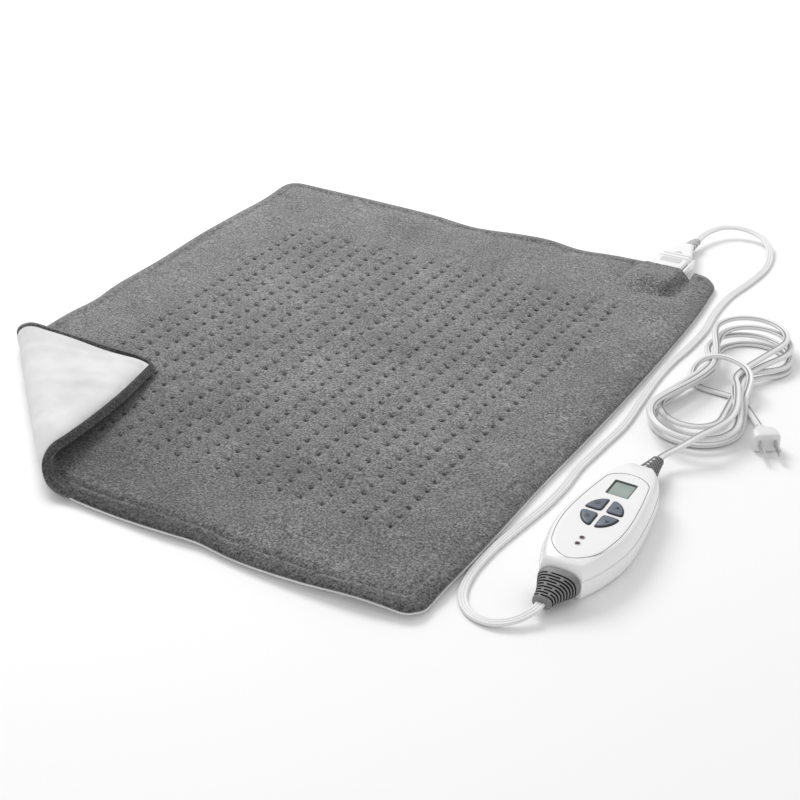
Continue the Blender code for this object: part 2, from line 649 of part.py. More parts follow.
def build_connector_shells():
    outline = connector_outline()
    rounded = offset_outline(outline, CONNECTOR_EDGE_ROUND)
    eased = offset_outline(outline, CONNECTOR_EDGE_ROUND * 0.3)
    step = CONNECTOR_EDGE_ROUND
    halves = {
        "connector_bottom_shell": [(rounded, CONNECTOR_BOTTOM_Z), (eased, CONNECTOR_BOTTOM_Z + step * 0.4),
                                   (outline, CONNECTOR_BOTTOM_Z + step), (outline, SOCKET_Z - GAP / 2)],
        "connector_top_shell": [(outline, SOCKET_Z + GAP / 2), (outline, CONNECTOR_TOP_Z - step),
                                (eased, CONNECTOR_TOP_Z - step * 0.4), (rounded, CONNECTOR_TOP_Z)],
    }
    back = CONNECTOR_BACK_Y
    nose_x, nose_z = CAVITY_HALF_WIDTH, CAVITY_HALF_HEIGHT
    wire_x, wire_z = WIREWAY_HALF_WIDTH, WIREWAY_HALF_HEIGHT
    bay_back = CONNECTOR_FRONT_Y + CARRIER_INSERT + GAP
    pocket_low = LATCH_PIVOT_Y - LATCH_KNUCKLE - LATCH_SIDE_GAP
    pocket_high = LATCH_PIVOT_Y + LATCH_KNUCKLE + LATCH_SIDE_GAP
    half_height = LATCH_HEIGHT / 2 + GAP
    wide = CONNECTOR_HALF_WIDTH
    pocket_floor = wide - LATCH_POCKET_DEPTH
    for name, levels in halves.items():
        shell = loft_object(name, [at_height(ring, z) for ring, z in levels], "white_plastic")
        boxes = {
            "bay": ((-nose_x, CONNECTOR_FRONT_Y - MM, -nose_z), (nose_x, bay_back, nose_z)),
            "wireway": ((-wire_x, bay_back - MM, -wire_z), (wire_x, back - WIREWAY_END, wire_z)),
            "neck": ((-RELIEF_NECK.x - GAP, back - WIREWAY_END - GAP, -RELIEF_NECK.z - GAP),
                     (RELIEF_NECK.x + GAP, back + MM, RELIEF_NECK.z + GAP)),
            "right_pivot": ((pocket_floor, pocket_low, -half_height), (wide + MM, pocket_high, half_height)),
            "left_pivot": ((-wide - MM, pocket_low, -half_height), (-pocket_floor, pocket_high, half_height)),
        }
        for label, (low, high) in boxes.items():
            middle = Vector((SOCKET_X, 0, SOCKET_Z))
            cut(shell, box_object(f"{name}_{label}_cutter", middle + Vector(low), middle + Vector(high),
                                  "white_plastic"))


def build_contact_carrier():
    tip = SOCKET_FRONT_Y + NOSE_TIP_GAP
    back = CONNECTOR_FRONT_Y + CARRIER_INSERT
    carrier = box_object("contact_carrier", (SOCKET_X - NOSE_WIDTH / 2, tip, SOCKET_Z - NOSE_HEIGHT / 2),
                         (SOCKET_X + NOSE_WIDTH / 2, back, SOCKET_Z + NOSE_HEIGHT / 2), "white_vinyl")
    for number, x in enumerate(pin_places(), start=1):
        cut(carrier, cylinder_object(f"contact_{number}_cutter", (x, tip - MM, SOCKET_Z),
                                     (x, SOCKET_FRONT_Y + PIN_REACH + PIN_HOLE_MARGIN, SOCKET_Z),
                                     PIN_HOLE_RADIUS, "brass"))


def build_strain_relief():
    """A tapered sleeve behind the connector, with a neck that sits in the shells."""
    start = CONNECTOR_BACK_Y + GAP
    neck_y = CONNECTOR_BACK_Y - RELIEF_NECK.y
    rings = [superellipse((SOCKET_X, neck_y, SOCKET_Z), RELIEF_NECK.x, RELIEF_NECK.z),
             superellipse((SOCKET_X, start, SOCKET_Z), RELIEF_NECK.x, RELIEF_NECK.z)]
    for share, half_x, half_z in ((0.0, 6.0, 5.2), (0.35, 5.8, 4.6), (1.0, 5.0, 3.6)):
        centre = (SOCKET_X + RELIEF_LEAN * share, start + share * RELIEF_LENGTH, SOCKET_Z)
        rings.append(superellipse(centre, half_x * MM, half_z * MM))
    loft_object("connector_strain_relief", rings, "white_vinyl")


def build_latches():
    """Squeeze levers on the connector's sides, each turning on its own upright axis."""
    inner = SOCKET_HALF_WIDTH + LATCH_SOCKET_GAP
    knuckle_x = CONNECTOR_HALF_WIDTH - LATCH_KNUCKLE_DEPTH
    for label, side in (("right", 1), ("left", -1)):
        pivot_x = SOCKET_X + side * inner
        pivot = add_pivot(f"latch_{label}_pivot", (pivot_x, LATCH_PIVOT_Y, SOCKET_Z))
        depth = inner - knuckle_x
        plan = [(0, -LATCH_NOSE), (LATCH_THICKNESS, -LATCH_NOSE + MM), (LATCH_THICKNESS, LATCH_TAIL - MM),
                (LATCH_THICKNESS + 0.8 * MM, LATCH_TAIL), (0.6 * MM, LATCH_TAIL),
                (0, LATCH_KNUCKLE), (-depth, LATCH_KNUCKLE), (-depth, -LATCH_KNUCKLE), (0, -LATCH_KNUCKLE)]
        outline = [(pivot_x + side * x, LATCH_PIVOT_Y + y) for x, y in plan]
        low, high = SOCKET_Z - LATCH_HEIGHT / 2, SOCKET_Z + LATCH_HEIGHT / 2
        loft_object(f"latch_{label}", [at_height(outline, low), at_height(outline, high)],
                    "white_plastic", pivot)


# ---------------------------------------------------------------- hand controller

def controller_stations():
    rows = ((0.0, 16.5), (0.08, 22.0), (0.18, 27.0), (0.30, 30.6), (0.42, 31.4), (0.56, 29.8),
            (0.72, 26.4), (0.86, 22.0), (0.95, 16.5), (1.0, 10.6))
    return [(CONTROLLER_FRONT_Y + share * CONTROLLER_LENGTH, half * MM) for share, half in rows]


def controller_outline():
    return mirrored_outline(controller_stations(), CONTROLLER_X, 22)


def plate_outline(inset):
    """The face plate follows the body's outline, with round ends."""
    body = [(y, half - inset) for y, half in smooth_values(controller_stations(), 44)]
    front = CONTROLLER_FRONT_Y + 7.5 * MM + (inset - PLATE_INSET)
    back = CONTROLLER_BACK_Y - 22 * MM - (inset - PLATE_INSET)
    samples = []
    for i in range(19):
        y = front + (back - front) * (0.5 - 0.5 * math.cos(math.pi * (i + 0.5) / 19))
        k = max(j for j in range(len(body) - 1) if body[j][0] <= y)
        share = (y - body[k][0]) / (body[k + 1][0] - body[k][0])
        half = body[k][1] + share * (body[k + 1][1] - body[k][1])
        end_reach = min(1.0, (y - front) / (18 * MM), (back - y) / (13 * MM))
        samples.append((y, half * math.sqrt(1 - (1 - end_reach) ** 2)))
    right = [(CONTROLLER_X + half, y) for y, half in samples]
    left = [(CONTROLLER_X - half, y) for y, half in reversed(samples)]
    return right + left


def petal_outline(side_x, side_y, growth=0.0, corner=2.2 * MM, steps=4):
    """A quarter of the keypad's ellipse, with its three corners rounded."""
    gap = KEYPAD_CROSS / 2 - growth
    half_x, half_y = KEYPAD_HALF_WIDTH + growth, KEYPAD_HALF_LENGTH + growth
    top = half_y * math.sqrt(1 - (gap / half_x) ** 2)
    right = half_x * math.sqrt(1 - (gap / half_y) ** 2)
    start_angle = math.atan2((gap + corner) / half_y, right / half_x)
    end_angle = math.atan2(top / half_y, (gap + corner) / half_x)
    points = [(gap, gap + 1.6 * corner), (gap + 0.35 * corner, gap + 0.6 * corner),
              (gap + 0.6 * corner, gap + 0.35 * corner), (gap + 1.6 * corner, gap),
              (right - corner, gap), (right - 0.3 * corner, gap + 0.3 * corner)]
    for step in range(steps * 2 + 1):
        angle = start_angle + (end_angle - start_angle) * step / (steps * 2)
        points.append((half_x * math.cos(angle), half_y * math.sin(angle)))
    points += [(gap + 0.3 * corner, top - 0.3 * corner), (gap, top - corner)]
    placed = [(CONTROLLER_X + side_x * x, KEYPAD_CENTRE_Y + side_y * y) for x, y in points]
    return placed if side_x * side_y > 0 else placed[::-1]


BUTTONS = (("power_button", -1, 1), ("heat_up_button", 1, 1),
           ("timer_button", -1, -1), ("heat_down_button", 1, -1))


def cut_through(target, label, outline, low, high):
    cutter = loft_object(f"{target.name}_{label}_cutter", [at_height(outline, low), at_height(outline, high)],
                         "white_plastic")
    cut(target, cutter)


def cut_face_openings(target, low, high):
    """The display, button and lamp openings, through the roof or the face plate."""
    window = rounded_rectangle(DISPLAY_WIDTH / 2 + GAP, DISPLAY_LENGTH / 2 + GAP, 0.8 * MM,
                               (CONTROLLER_X, DISPLAY_CENTRE_Y), steps=2)
    cut_through(target, "window", window, low, high)
    for name, side_x, side_y in BUTTONS:
        cut_through(target, name, petal_outline(side_x, side_y, BUTTON_SIDE_GAP), low, high)
    for number, y in enumerate(LAMP_Y, start=1):
        cut(target, cylinder_object(f"{target.name}_lamp_{number}_cutter", (CONTROLLER_X, y, low),
                                    (CONTROLLER_X, y, high), LAMP_RADIUS + GAP, "lamp"))


def screw_places():
    return [(CONTROLLER_X + side * x, y) for x, y in SCREW_PLACES for side in (-1, 1)]


def boot_opening(y_low, y_high, centre_z, name):
    """A cutter for a boot's neck through both shells' end walls."""
    half_x, half_z = BOOT_NECK_HALF_WIDTH + GAP, BOOT_NECK_HALF_HEIGHT + GAP
    rings = [superellipse((CONTROLLER_X, y, centre_z), half_x, half_z) for y in (y_low, y_high)]
    return loft_object(name, rings, "grey_rubber")


def cut_boot_openings(shell):
    inside = SHELL_WALL + 3 * MM
    cut(shell, boot_opening(CONTROLLER_FRONT_Y - MM, CONTROLLER_FRONT_Y + inside, FRONT_BOOT_Z,
                            f"{shell.name}_front_neck_cutter"))
    cut(shell, boot_opening(CONTROLLER_BACK_Y - inside, CONTROLLER_BACK_Y + MM, REAR_BOOT_Z,
                            f"{shell.name}_rear_neck_cutter"))


def build_controller_bottom():
    outer = controller_outline()
    inner = offset_outline(outer, SHELL_WALL)
    levels = [(offset_outline(outer, 6.5 * MM), 0.0), (offset_outline(outer, 3.2 * MM), 0.9 * MM),
              (offset_outline(outer, 1.0 * MM), 3.4 * MM), (offset_outline(outer, 0.2 * MM), 7.5 * MM),
              (outer, PARTING_Z), (inner, PARTING_Z), (offset_outline(inner, 0.4 * MM), 7.5 * MM),
              (offset_outline(inner, 2.6 * MM), 3.4 * MM), (offset_outline(inner, 5.5 * MM), SHELL_WALL)]
    rings = [at_height(ring, z) for ring, z in levels]
    shell = loft_object("controller_bottom_shell", rings, "white_plastic")
    for number, (x, y) in enumerate(screw_places(), start=1):
        cut(shell, cylinder_object(f"bottom_boss_{number}_joiner", (x, y, MM), (x, y, PARTING_Z),
                                   BOSS_RADIUS + 0.8 * MM, "white_plastic"), "UNION")
        cut(shell, cylinder_object(f"bottom_bore_{number}_cutter", (x, y, -MM), (x, y, PARTING_Z + MM),
                                   SCREW_RADIUS + GAP, "white_plastic"))
        cut(shell, cylinder_object(f"bottom_counterbore_{number}_cutter", (x, y, -MM),
                                   (x, y, COUNTERBORE_DEPTH), SCREW_HEAD_RADIUS + GAP, "white_plastic"))
    under_board = BOARD_TOP_Z - BOARD_THICKNESS - GAP
    rib = BOARD_RIB_HALF_LENGTH
    for number, y in enumerate((BOARD_FRONT_Y + BOARD_RIB_INSET, BOARD_BACK_Y - BOARD_RIB_INSET), start=1):
        cut(shell, box_object(f"board_rib_{number}_joiner", (CONTROLLER_X - rib, y - MM, MM),
                              (CONTROLLER_X + rib, y + MM, under_board), "white_plastic"), "UNION")
    cut_boot_openings(shell)


def build_controller_top():
    outer = controller_outline()
    inner = offset_outline(outer, SHELL_WALL)
    base = PARTING_Z + GAP
    top = CONTROLLER_HEIGHT
    roof = ROOF_Z
    levels = [(offset_outline(inner, 4.0 * MM), roof), (offset_outline(inner, 1.6 * MM), roof - 3.0 * MM),
              (offset_outline(inner, 0.4 * MM), base + 5 * MM), (inner, base), (outer, base),
              (offset_outline(outer, 0.5 * MM), base + 5.4 * MM),
              (offset_outline(outer, 1.7 * MM), top - 5.4 * MM),
              (offset_outline(outer, 3.6 * MM), top - 2.2 * MM),
              (offset_outline(outer, 5.6 * MM), top - 0.6 * MM), (offset_outline(outer, 7.6 * MM), top)]
    rings = [at_height(ring, z) for ring, z in levels]
    shell = loft_object("controller_top_shell", rings, "white_plastic")
    for number, (x, y) in enumerate(screw_places(), start=1):
        cut(shell, cylinder_object(f"top_boss_{number}_joiner", (x, y, base), (x, y, roof + MM),
                                   BOSS_RADIUS, "white_plastic"), "UNION")
        cut(shell, cylinder_object(f"top_bore_{number}_cutter", (x, y, base - MM),
                                   (x, y, SCREW_TIP_Z + MM), SCREW_RADIUS + GAP, "white_plastic"))
    cut_through(shell, "recess", plate_outline(PLATE_INSET - GAP), top - PLATE_RECESS, top + 5 * MM)
    cut_face_openings(shell, roof - 2 * MM, top + 4 * MM)
    cut_boot_openings(shell)


def build_face_plate():
    floor = CONTROLLER_HEIGHT - PLATE_RECESS + GAP
    outline = plate_outline(PLATE_INSET)
    rings = [at_height(outline, floor), at_height(outline, floor + PLATE_THICKNESS)]
    plate = loft_object("face_plate", rings, "white_plastic")
    cut_face_openings(plate, floor - MM, floor + 2 * MM)


def build_display():
    half_x, half_y = DISPLAY_WIDTH / 2, DISPLAY_LENGTH / 2
    box_object("display_window", (CONTROLLER_X - half_x, DISPLAY_CENTRE_Y - half_y, ROOF_Z),
               (CONTROLLER_X + half_x, DISPLAY_CENTRE_Y + half_y, ROOF_Z + WINDOW_THICKNESS), "display")
    half_x += DISPLAY_BEZEL
    half_y += DISPLAY_BEZEL
    box_object("display_module", (CONTROLLER_X - half_x, DISPLAY_CENTRE_Y - half_y, BOARD_TOP_Z + GAP),
               (CONTROLLER_X + half_x, DISPLAY_CENTRE_Y + half_y, ROOF_Z - GAP), "black_part")


def build_buttons():
    """Four petals, each with a flange under the roof and a nub over its switch."""
    top = CONTROLLER_HEIGHT - PLATE_RECESS + GAP + PLATE_THICKNESS + BUTTON_PROUD
    flange_top = ROOF_Z - GAP
    flange_bottom = flange_top - BUTTON_FLANGE
    for name, side_x, side_y in BUTTONS:
        centre = Vector((CONTROLLER_X + side_x * KEYPAD_HALF_WIDTH * 0.44,
                         KEYPAD_CENTRE_Y + side_y * KEYPAD_HALF_LENGTH * 0.44, top))
        pivot = add_pivot(f"{name}_guide", centre)
        cap = petal_outline(side_x, side_y)
        flange = petal_outline(side_x, side_y, KEYPAD_CROSS / 2 - GAP)
        shoulder = petal_outline(side_x, side_y, -0.5 * MM)
        loft_object(name, [at_height(flange, flange_bottom), at_height(flange, flange_top),
                           at_height(cap, flange_top), at_height(cap, top - 0.5 * MM),
                           at_height(shoulder, top)], "slate_button", pivot)
        switch_top = flange_bottom - BUTTON_TRAVEL - GAP
        half = SWITCH_SIZE / 2
        box_object(name.replace("button", "switch"),
                   (centre.x - half, centre.y - half, BOARD_TOP_Z + GAP),
                   (centre.x + half, centre.y + half, switch_top), "black_part")


def build_board():
    box_object("circuit_board",
               (CONTROLLER_X - BOARD_HALF_WIDTH, BOARD_FRONT_Y, BOARD_TOP_Z - BOARD_THICKNESS),
               (CONTROLLER_X + BOARD_HALF_WIDTH, BOARD_BACK_Y, BOARD_TOP_Z), "board")
    under = BOARD_TOP_Z - BOARD_THICKNESS - GAP
    parts = (("microcontroller", (0, 82), (10, 10, 1.6), "black_part"),
             ("triac", (-6, 54), (10, 4.6, 12.0), "black_part"),
             ("capacitor", (6, 60), (7, 16, 11.0), "film_case"),
             ("line_fuse", (0, 119), (5.2, 14, 5.2), "white_vinyl"))
    for name, (x, y), (size_x, size_y, size_z), key in parts:
        middle_x, middle_y = CONTROLLER_X + x * MM, CONTROLLER_FRONT_Y + y * MM
        box_object(name, (middle_x - size_x * MM / 2, middle_y - size_y * MM / 2, under - size_z * MM),
                   (middle_x + size_x * MM / 2, middle_y + size_y * MM / 2, under), key)
    for number, y in enumerate(LAMP_Y, start=1):
        cylinder_object(f"lamp_{number}", (CONTROLLER_X, y, BOARD_TOP_Z + GAP),
                        (CONTROLLER_X, y, CONTROLLER_HEIGHT + LAMP_PROUD), LAMP_RADIUS, "lamp")


def build_screws():
    head_top = COUNTERBORE_DEPTH - GAP
    for number, (x, y) in enumerate(screw_places(), start=1):
        bm = bmesh.new()
        rings = []
        for radius, z in ((SCREW_HEAD_RADIUS, head_top - SCREW_HEAD_HEIGHT), (SCREW_HEAD_RADIUS, head_top),
                          (SCREW_RADIUS, head_top), (SCREW_RADIUS, SCREW_TIP_Z)):
            rings.append([Vector((x + radius * math.cos(math.tau * i / 12),
                                  y + radius * math.sin(math.tau * i / 12), z)) for i in range(12)])
        loft(bm, rings)
        add_object(f"shell_screw_{number}", bm, "steel")


def build_boots():
    """Soft strain reliefs: a flange inside, a neck through the wall and a tapered sleeve."""
    rows = (
        ("front_boot", CONTROLLER_FRONT_Y, -1, FRONT_BOOT_Z, FRONT_BOOT_LENGTH, FRONT_BOOT_LEAN,
         ((0.0, 15.6, 10.2), (0.10, 16.0, 10.3), (0.30, 13.6, 8.8), (0.62, 9.8, 6.4), (1.0, 6.4, 4.4))),
        ("rear_boot", CONTROLLER_BACK_Y, 1, REAR_BOOT_Z, REAR_BOOT_LENGTH, REAR_BOOT_LEAN,
         ((0.0, 10.4, 8.6), (0.10, 10.2, 8.4), (0.45, 7.6, 6.4), (0.85, 5.6, 4.8), (1.0, 4.6, 4.0))),
    )
    for name, wall_y, way, height, length, lean, profile in rows:
        flange_y = wall_y - way * BOOT_FLANGE_INSET
        inner_y = flange_y - way * BOOT_FLANGE_THICKNESS
        neck_x, neck_z = BOOT_NECK_HALF_WIDTH, BOOT_NECK_HALF_HEIGHT
        flange_x, flange_z = neck_x + BOOT_FLANGE_STEP, neck_z + BOOT_FLANGE_STEP
        rings = [superellipse((CONTROLLER_X, inner_y, height), flange_x, flange_z),
                 superellipse((CONTROLLER_X, flange_y, height), flange_x, flange_z),
                 superellipse((CONTROLLER_X, flange_y, height), neck_x, neck_z),
                 superellipse((CONTROLLER_X, wall_y + way * GAP, height), neck_x, neck_z)]
        for share, half_x, half_z in profile:
            ease = share * share
            centre = (CONTROLLER_X + lean[0] * ease, wall_y + way * (GAP + share * length),
                      height + lean[1] * ease)
            rings.append(superellipse(centre, half_x * MM, half_z * MM))
        loft_object(name, rings, "grey_rubber")


def build_inner_leads():
    """The cords' conductors, from each boot to the circuit board's edge."""
    board_middle = BOARD_TOP_Z - BOARD_THICKNESS / 2
    inset = BOOT_FLANGE_INSET + BOOT_FLANGE_THICKNESS + GAP
    rows = (("front_conductors", CONTROLLER_FRONT_Y + inset, BOARD_FRONT_Y - GAP, FRONT_BOOT_Z),
            ("rear_conductors", CONTROLLER_BACK_Y - inset, BOARD_BACK_Y + GAP, REAR_BOOT_Z))
    for name, start_y, end_y, height in rows:
        step = 2 * MM * math.copysign(1.0, end_y - start_y)
        stations = ((start_y, height), (start_y + step, height), (end_y - step, board_middle),
                    (end_y, board_middle))
        points = [Vector((CONTROLLER_X, y, z)) for y, z in stations]
        tube_object(name, points, CONDUCTOR_RADIUS, "wire", resolution=1)


# ---------------------------------------------------------------- cords, hank and plug

def route_points(route):
    return [Vector(point) * MM for point in route]


def hank_outline():
    """Two lobes with a waist where the cord's own turn binds them."""
    stations = []
    steps = 16
    for step in range(steps + 1):
        share = step / steps
        angle = math.pi * share
        lobes = HANK_WAIST + (1 - HANK_WAIST) * math.sin(math.tau * share) ** 2
        round_end = min(1.0, math.sin(angle) ** 0.5 * 1.25)
        stations.append((HANK_FRONT_Y + HANK_LENGTH * (0.5 - 0.5 * math.cos(angle)),
                         max(HANK_HALF_WIDTH * lobes * round_end, HANK_END_HALF_WIDTH)))
    right = [(HANK_CENTRE_X + half, y) for y, half in stations]
    left = [(HANK_CENTRE_X - half, y) for y, half in reversed(stations)]
    return right + left


def cord_points(route, spacing, start, end):
    """A smooth route between two ends, each a point and the way that the cord leaves it."""
    first, last = (point + Vector(way) * STRAIGHT_EXIT for point, way in (start, end))
    return [start[0]] + smooth_route([first] + route_points(route) + [last], spacing) + [end[0]]


def build_cords():
    relief_end = Vector((SOCKET_X + RELIEF_LEAN, CONNECTOR_BACK_Y + 2 * GAP + RELIEF_LENGTH, SOCKET_Z))
    front_tip = Vector((CONTROLLER_X + FRONT_BOOT_LEAN[0], CONTROLLER_FRONT_Y - 2 * GAP - FRONT_BOOT_LENGTH,
                        FRONT_BOOT_Z + FRONT_BOOT_LEAN[1]))
    rear_tip = Vector((CONTROLLER_X + REAR_BOOT_LEAN[0], CONTROLLER_BACK_Y + 2 * GAP + REAR_BOOT_LENGTH,
                       REAR_BOOT_Z + REAR_BOOT_LEAN[1]))
    plug_end = PLUG_FACE - PLUG_AIM * (PLUG_BODY_LENGTH + PLUG_RELIEF_LENGTH + 2 * GAP)
    hank_entry = Vector((HANK_CENTRE_X + HANK_ENTRY_SHIFT, HANK_FRONT_Y - GAP, REAR_BOOT_Z))
    hank_side = HANK_CENTRE_X + HANK_HALF_WIDTH * HANK_WAIST + 2 * GAP
    hank_exit = Vector((hank_side, HANK_FRONT_Y + HANK_LENGTH / 2, HANK_EXIT_Z))
    rows = (
        ("pad_lead_cord", PAD_LEAD_ROUTE, 13 * MM, (relief_end, (0, 1, 0)), (front_tip, (0, -1, 0))),
        ("mains_cord_run", MAINS_RUN_ROUTE, 6 * MM, (rear_tip, (0, 1, 0)), (hank_entry, (0, -1, 0))),
        ("plug_lead", PLUG_LEAD_ROUTE, 6 * MM, (hank_exit, (1, 0, 0)), (plug_end, -PLUG_AIM)),
    )
    for name, route, spacing, start, end in rows:
        tube_object(name, cord_points(route, spacing, start, end), CORD_RADIUS, "white_vinyl")

    outline = hank_outline()
    slope_in, slope_down = HANK_EDGE_SLOPE
    levels = ((outline, 0.0), (outline, HANK_HEIGHT - slope_down),
              (offset_outline(outline, slope_in), HANK_HEIGHT))
    loft_object("mains_cord_hank", [at_height(ring, z) for ring, z in levels], "white_vinyl")


def plug_matrix():
    """Local +Y is the blades' direction, +Z is up, and the origin is the face's centre."""
    side = PLUG_AIM.cross(Vector((0, 0, 1)))
    turn = Matrix((side, PLUG_AIM, Vector((0, 0, 1)))).transposed().to_4x4()
    return Matrix.Translation(PLUG_FACE) @ turn


def build_plug():
    place = plug_matrix()
    half_x, half_z = PLUG_WIDTH / 2, PLUG_HEIGHT / 2
    rows = ((0.0, 0.94, 0.94), (-0.06, 1.0, 1.0), (-0.55, 0.96, 0.98), (-0.80, 0.82, 0.92),
            (-0.92, 0.66, 0.80), (-1.0, 0.62, 0.76))
    rings = [superellipse((0, share * PLUG_BODY_LENGTH, 0), half_x * wide, half_z * tall, power=6.0)
             for share, wide, tall in rows]
    body = loft_object("plug_body", [[place @ point for point in ring] for ring in rings], "white_vinyl")
    start = -PLUG_BODY_LENGTH - GAP
    rings = [superellipse((0, start - share * (PLUG_RELIEF_LENGTH - GAP), 0), half * MM, tall * MM)
             for share, half, tall in ((0.0, 6.2, 5.2), (0.5, 4.8, 4.4), (1.0, 3.6, 3.6))]
    loft_object("plug_strain_relief", [[place @ point for point in ring] for ring in rings], "white_vinyl")
    for number, side in ((1, -1), (2, 1)):
        x = side * BLADE_SPACING / 2
        slot = blade_box(f"blade_slot_{number}_cutter", place, x, -BLADE_ROOT - GAP, MM, GAP)
        cut(body, slot)
        blade_box(f"plug_blade_{number}", place, x, -BLADE_ROOT, BLADE_LENGTH, 0.0)


def blade_box(name, place, x, back, front, growth):
    """A flat blade, or the slot that it sits in."""
    bm = bmesh.new()
    bmesh.ops.create_cube(bm, size=1.0)
    size = Vector((BLADE_THICKNESS + 2 * growth, front - back, BLADE_WIDTH + 2 * growth))
    bmesh.ops.scale(bm, verts=bm.verts[:], vec=size)
    bmesh.ops.translate(bm, verts=bm.verts[:], vec=(x, (front + back) / 2, 0))
    bmesh.ops.transform(bm, verts=bm.verts[:], matrix=place)
    return add_object(name, bm, "steel")


def main():
    clear_scene()
    build_covers()
    build_felts()
    build_heating_wire()
    build_pad_leads()
    build_socket()
    build_pocket()
    build_connector_shells()
    build_contact_carrier()
    build_strain_relief()
    build_latches()
    build_controller_bottom()
    build_controller_top()
    build_face_plate()
    build_display()
    build_buttons()
    build_board()
    build_screws()
    build_boots()
    build_inner_leads()
    build_cords()
    build_plug()


main()
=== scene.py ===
import math

import bmesh
import bpy
import numpy as np
from bpy.props import FloatProperty, FloatVectorProperty, IntProperty, PointerProperty
from mathutils import Matrix, Vector, noise


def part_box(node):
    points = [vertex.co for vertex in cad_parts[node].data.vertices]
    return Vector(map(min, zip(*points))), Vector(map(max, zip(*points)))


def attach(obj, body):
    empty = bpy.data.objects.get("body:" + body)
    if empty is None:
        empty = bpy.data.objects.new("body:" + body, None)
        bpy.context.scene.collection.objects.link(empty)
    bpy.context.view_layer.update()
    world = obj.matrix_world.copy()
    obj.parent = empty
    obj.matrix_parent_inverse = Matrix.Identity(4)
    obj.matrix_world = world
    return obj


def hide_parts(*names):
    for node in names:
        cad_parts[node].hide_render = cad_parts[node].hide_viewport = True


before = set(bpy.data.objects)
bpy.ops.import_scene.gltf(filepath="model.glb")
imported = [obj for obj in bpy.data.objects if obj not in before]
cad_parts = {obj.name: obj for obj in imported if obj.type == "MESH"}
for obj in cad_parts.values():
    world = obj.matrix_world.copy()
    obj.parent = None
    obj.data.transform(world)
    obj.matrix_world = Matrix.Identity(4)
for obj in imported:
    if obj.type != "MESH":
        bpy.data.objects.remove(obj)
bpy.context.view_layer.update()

bl_info = {
    "name": "Electric Heating Pad",
    "version": (1, 0, 0),
    "blender": (4, 5, 0),
    "location": "View3D > Sidebar > Heating Pad",
    "description": "Plush heating pad with a folded corner, cord, hand controller and mains lead",
    "category": "Add Mesh",
}

MM = 0.001
PAD = "pad"
CORD_SET = "cord_set"
WELD = 1e-6
ROUTE_STEPS = 16

# Routes of the free cords, in millimetres, as the part's design lays them
PAD_LEAD_ROUTE = (
    (208.6, 390.0, 9.8), (212.6, 403.0, 10.6), (221.0, 416.0, 11.2), (235.0, 423.0, 11.0),
    (250.0, 423.0, 9.6), (264.0, 417.0, 7.6), (274.0, 406.5, 5.4), (280.0, 392.0, 3.8),
    (284.0, 376.0, 2.8), (285.5, 357.0, 2.7), (284.0, 336.0, 2.7), (280.6, 312.0, 2.7),
    (276.4, 288.0, 2.7), (275.0, 262.0, 2.7), (276.4, 234.0, 2.7), (279.6, 204.0, 2.7),
    (279.2, 168.0, 2.7), (275.8, 128.0, 2.7), (275.6, 91.0, 2.7), (278.6, 50.0, 2.7),
    (281.6, 8.0, 2.7), (278.8, -33.0, 2.7), (276.4, -70.0, 2.7), (277.6, -102.0, 2.7),
    (276.0, -135.0, 2.7), (271.4, -170.0, 2.7), (267.2, -205.0, 2.7), (267.4, -238.0, 2.7),
    (274.0, -264.0, 2.7), (288.0, -279.0, 2.8), (305.0, -282.0, 3.6), (319.0, -275.0, 5.4),
    (327.4, -264.0, 7.6),
)
MAINS_RUN_ROUTE = (
    (334.4, -32.0, 12.2), (339.5, -25.0, 14.0), (346.0, -16.5, 18.0), (353.0, -6.0, 22.0),
    (359.0, 7.0, 22.6), (362.6, 22.0, 21.4), (363.4, 38.0, 19.6), (361.0, 56.0, 18.0),
    (355.6, 75.0, 17.0), (348.4, 95.0, 16.4),
)
# Each turn of the hank: left, right and tip of its upper lobe and of its lower lobe, then its heights
HANK_TURNS = (
    ((297, 361, 218), (299, 371, -8), (19.4, 15.2)),
    ((303, 367, 212), (294, 368, 1), (14.0, 9.0)),
    ((297, 370, 206), (297, 351, 27), (8.2, 4.6)),
    ((305, 371, 202), (294, 370, 6), (2.0, 2.0)),
)
# Where each turn crosses the waist, as X and height: on the right, then on the left
HANK_WAIST_PLACES = (
    ((341.4, 14.9), (317.6, 14.9)), ((347.6, 12.0), (311.4, 13.0)),
    ((341.2, 9.6), (317.4, 9.8)), ((347.8, 6.4), (311.0, 7.0)),
)
HANK_WAIST_Y = 118
WRAP_ROUTE = (
    (363.0, 74.0, 5.0), (358.8, 86.0, 8.6), (357.4, 97.0, 13.0), (356.0, 107.0, 16.8),
    (351.6, 117.0, 18.8), (344.0, 125.0, 19.4), (334.0, 130.4, 19.2), (323.0, 133.4, 18.8),
    (312.4, 132.6, 17.2), (304.4, 127.4, 14.0), (300.6, 118.8, 9.8), (302.0, 109.6, 5.8),
    (308.0, 102.6, 3.0), (318.0, 99.4, 2.0), (330.0, 99.2, 2.0), (341.0, 99.2, 2.0),
    (351.0, 96.4, 2.0), (359.0, 89.6, 2.2), (365.6, 80.8, 3.0), (371.2, 72.0, 4.4),
    (376.0, 64.0, 6.4), (380.0, 57.4, 7.8),
)


# ---------------------------------------------------------------- settings

def grey(value):
    return (value, value, value)


def length_value(name, description, millimetres):
    return FloatProperty(name=name, description=description, default=millimetres * MM, unit="LENGTH")


def angle_value(name, description, degrees):
    return FloatProperty(name=name, description=description, default=math.radians(degrees),
                         subtype="ANGLE")


def colour_value(name, description, colour):
    return FloatVectorProperty(name=name, description=description, default=colour, subtype="COLOR")


def plan_value(name, description, x, y):
    """A place or a step on the floor, in millimetres."""
    return FloatVectorProperty(name=name, description=description, size=2, default=(x * MM, y * MM),
                               unit="LENGTH")


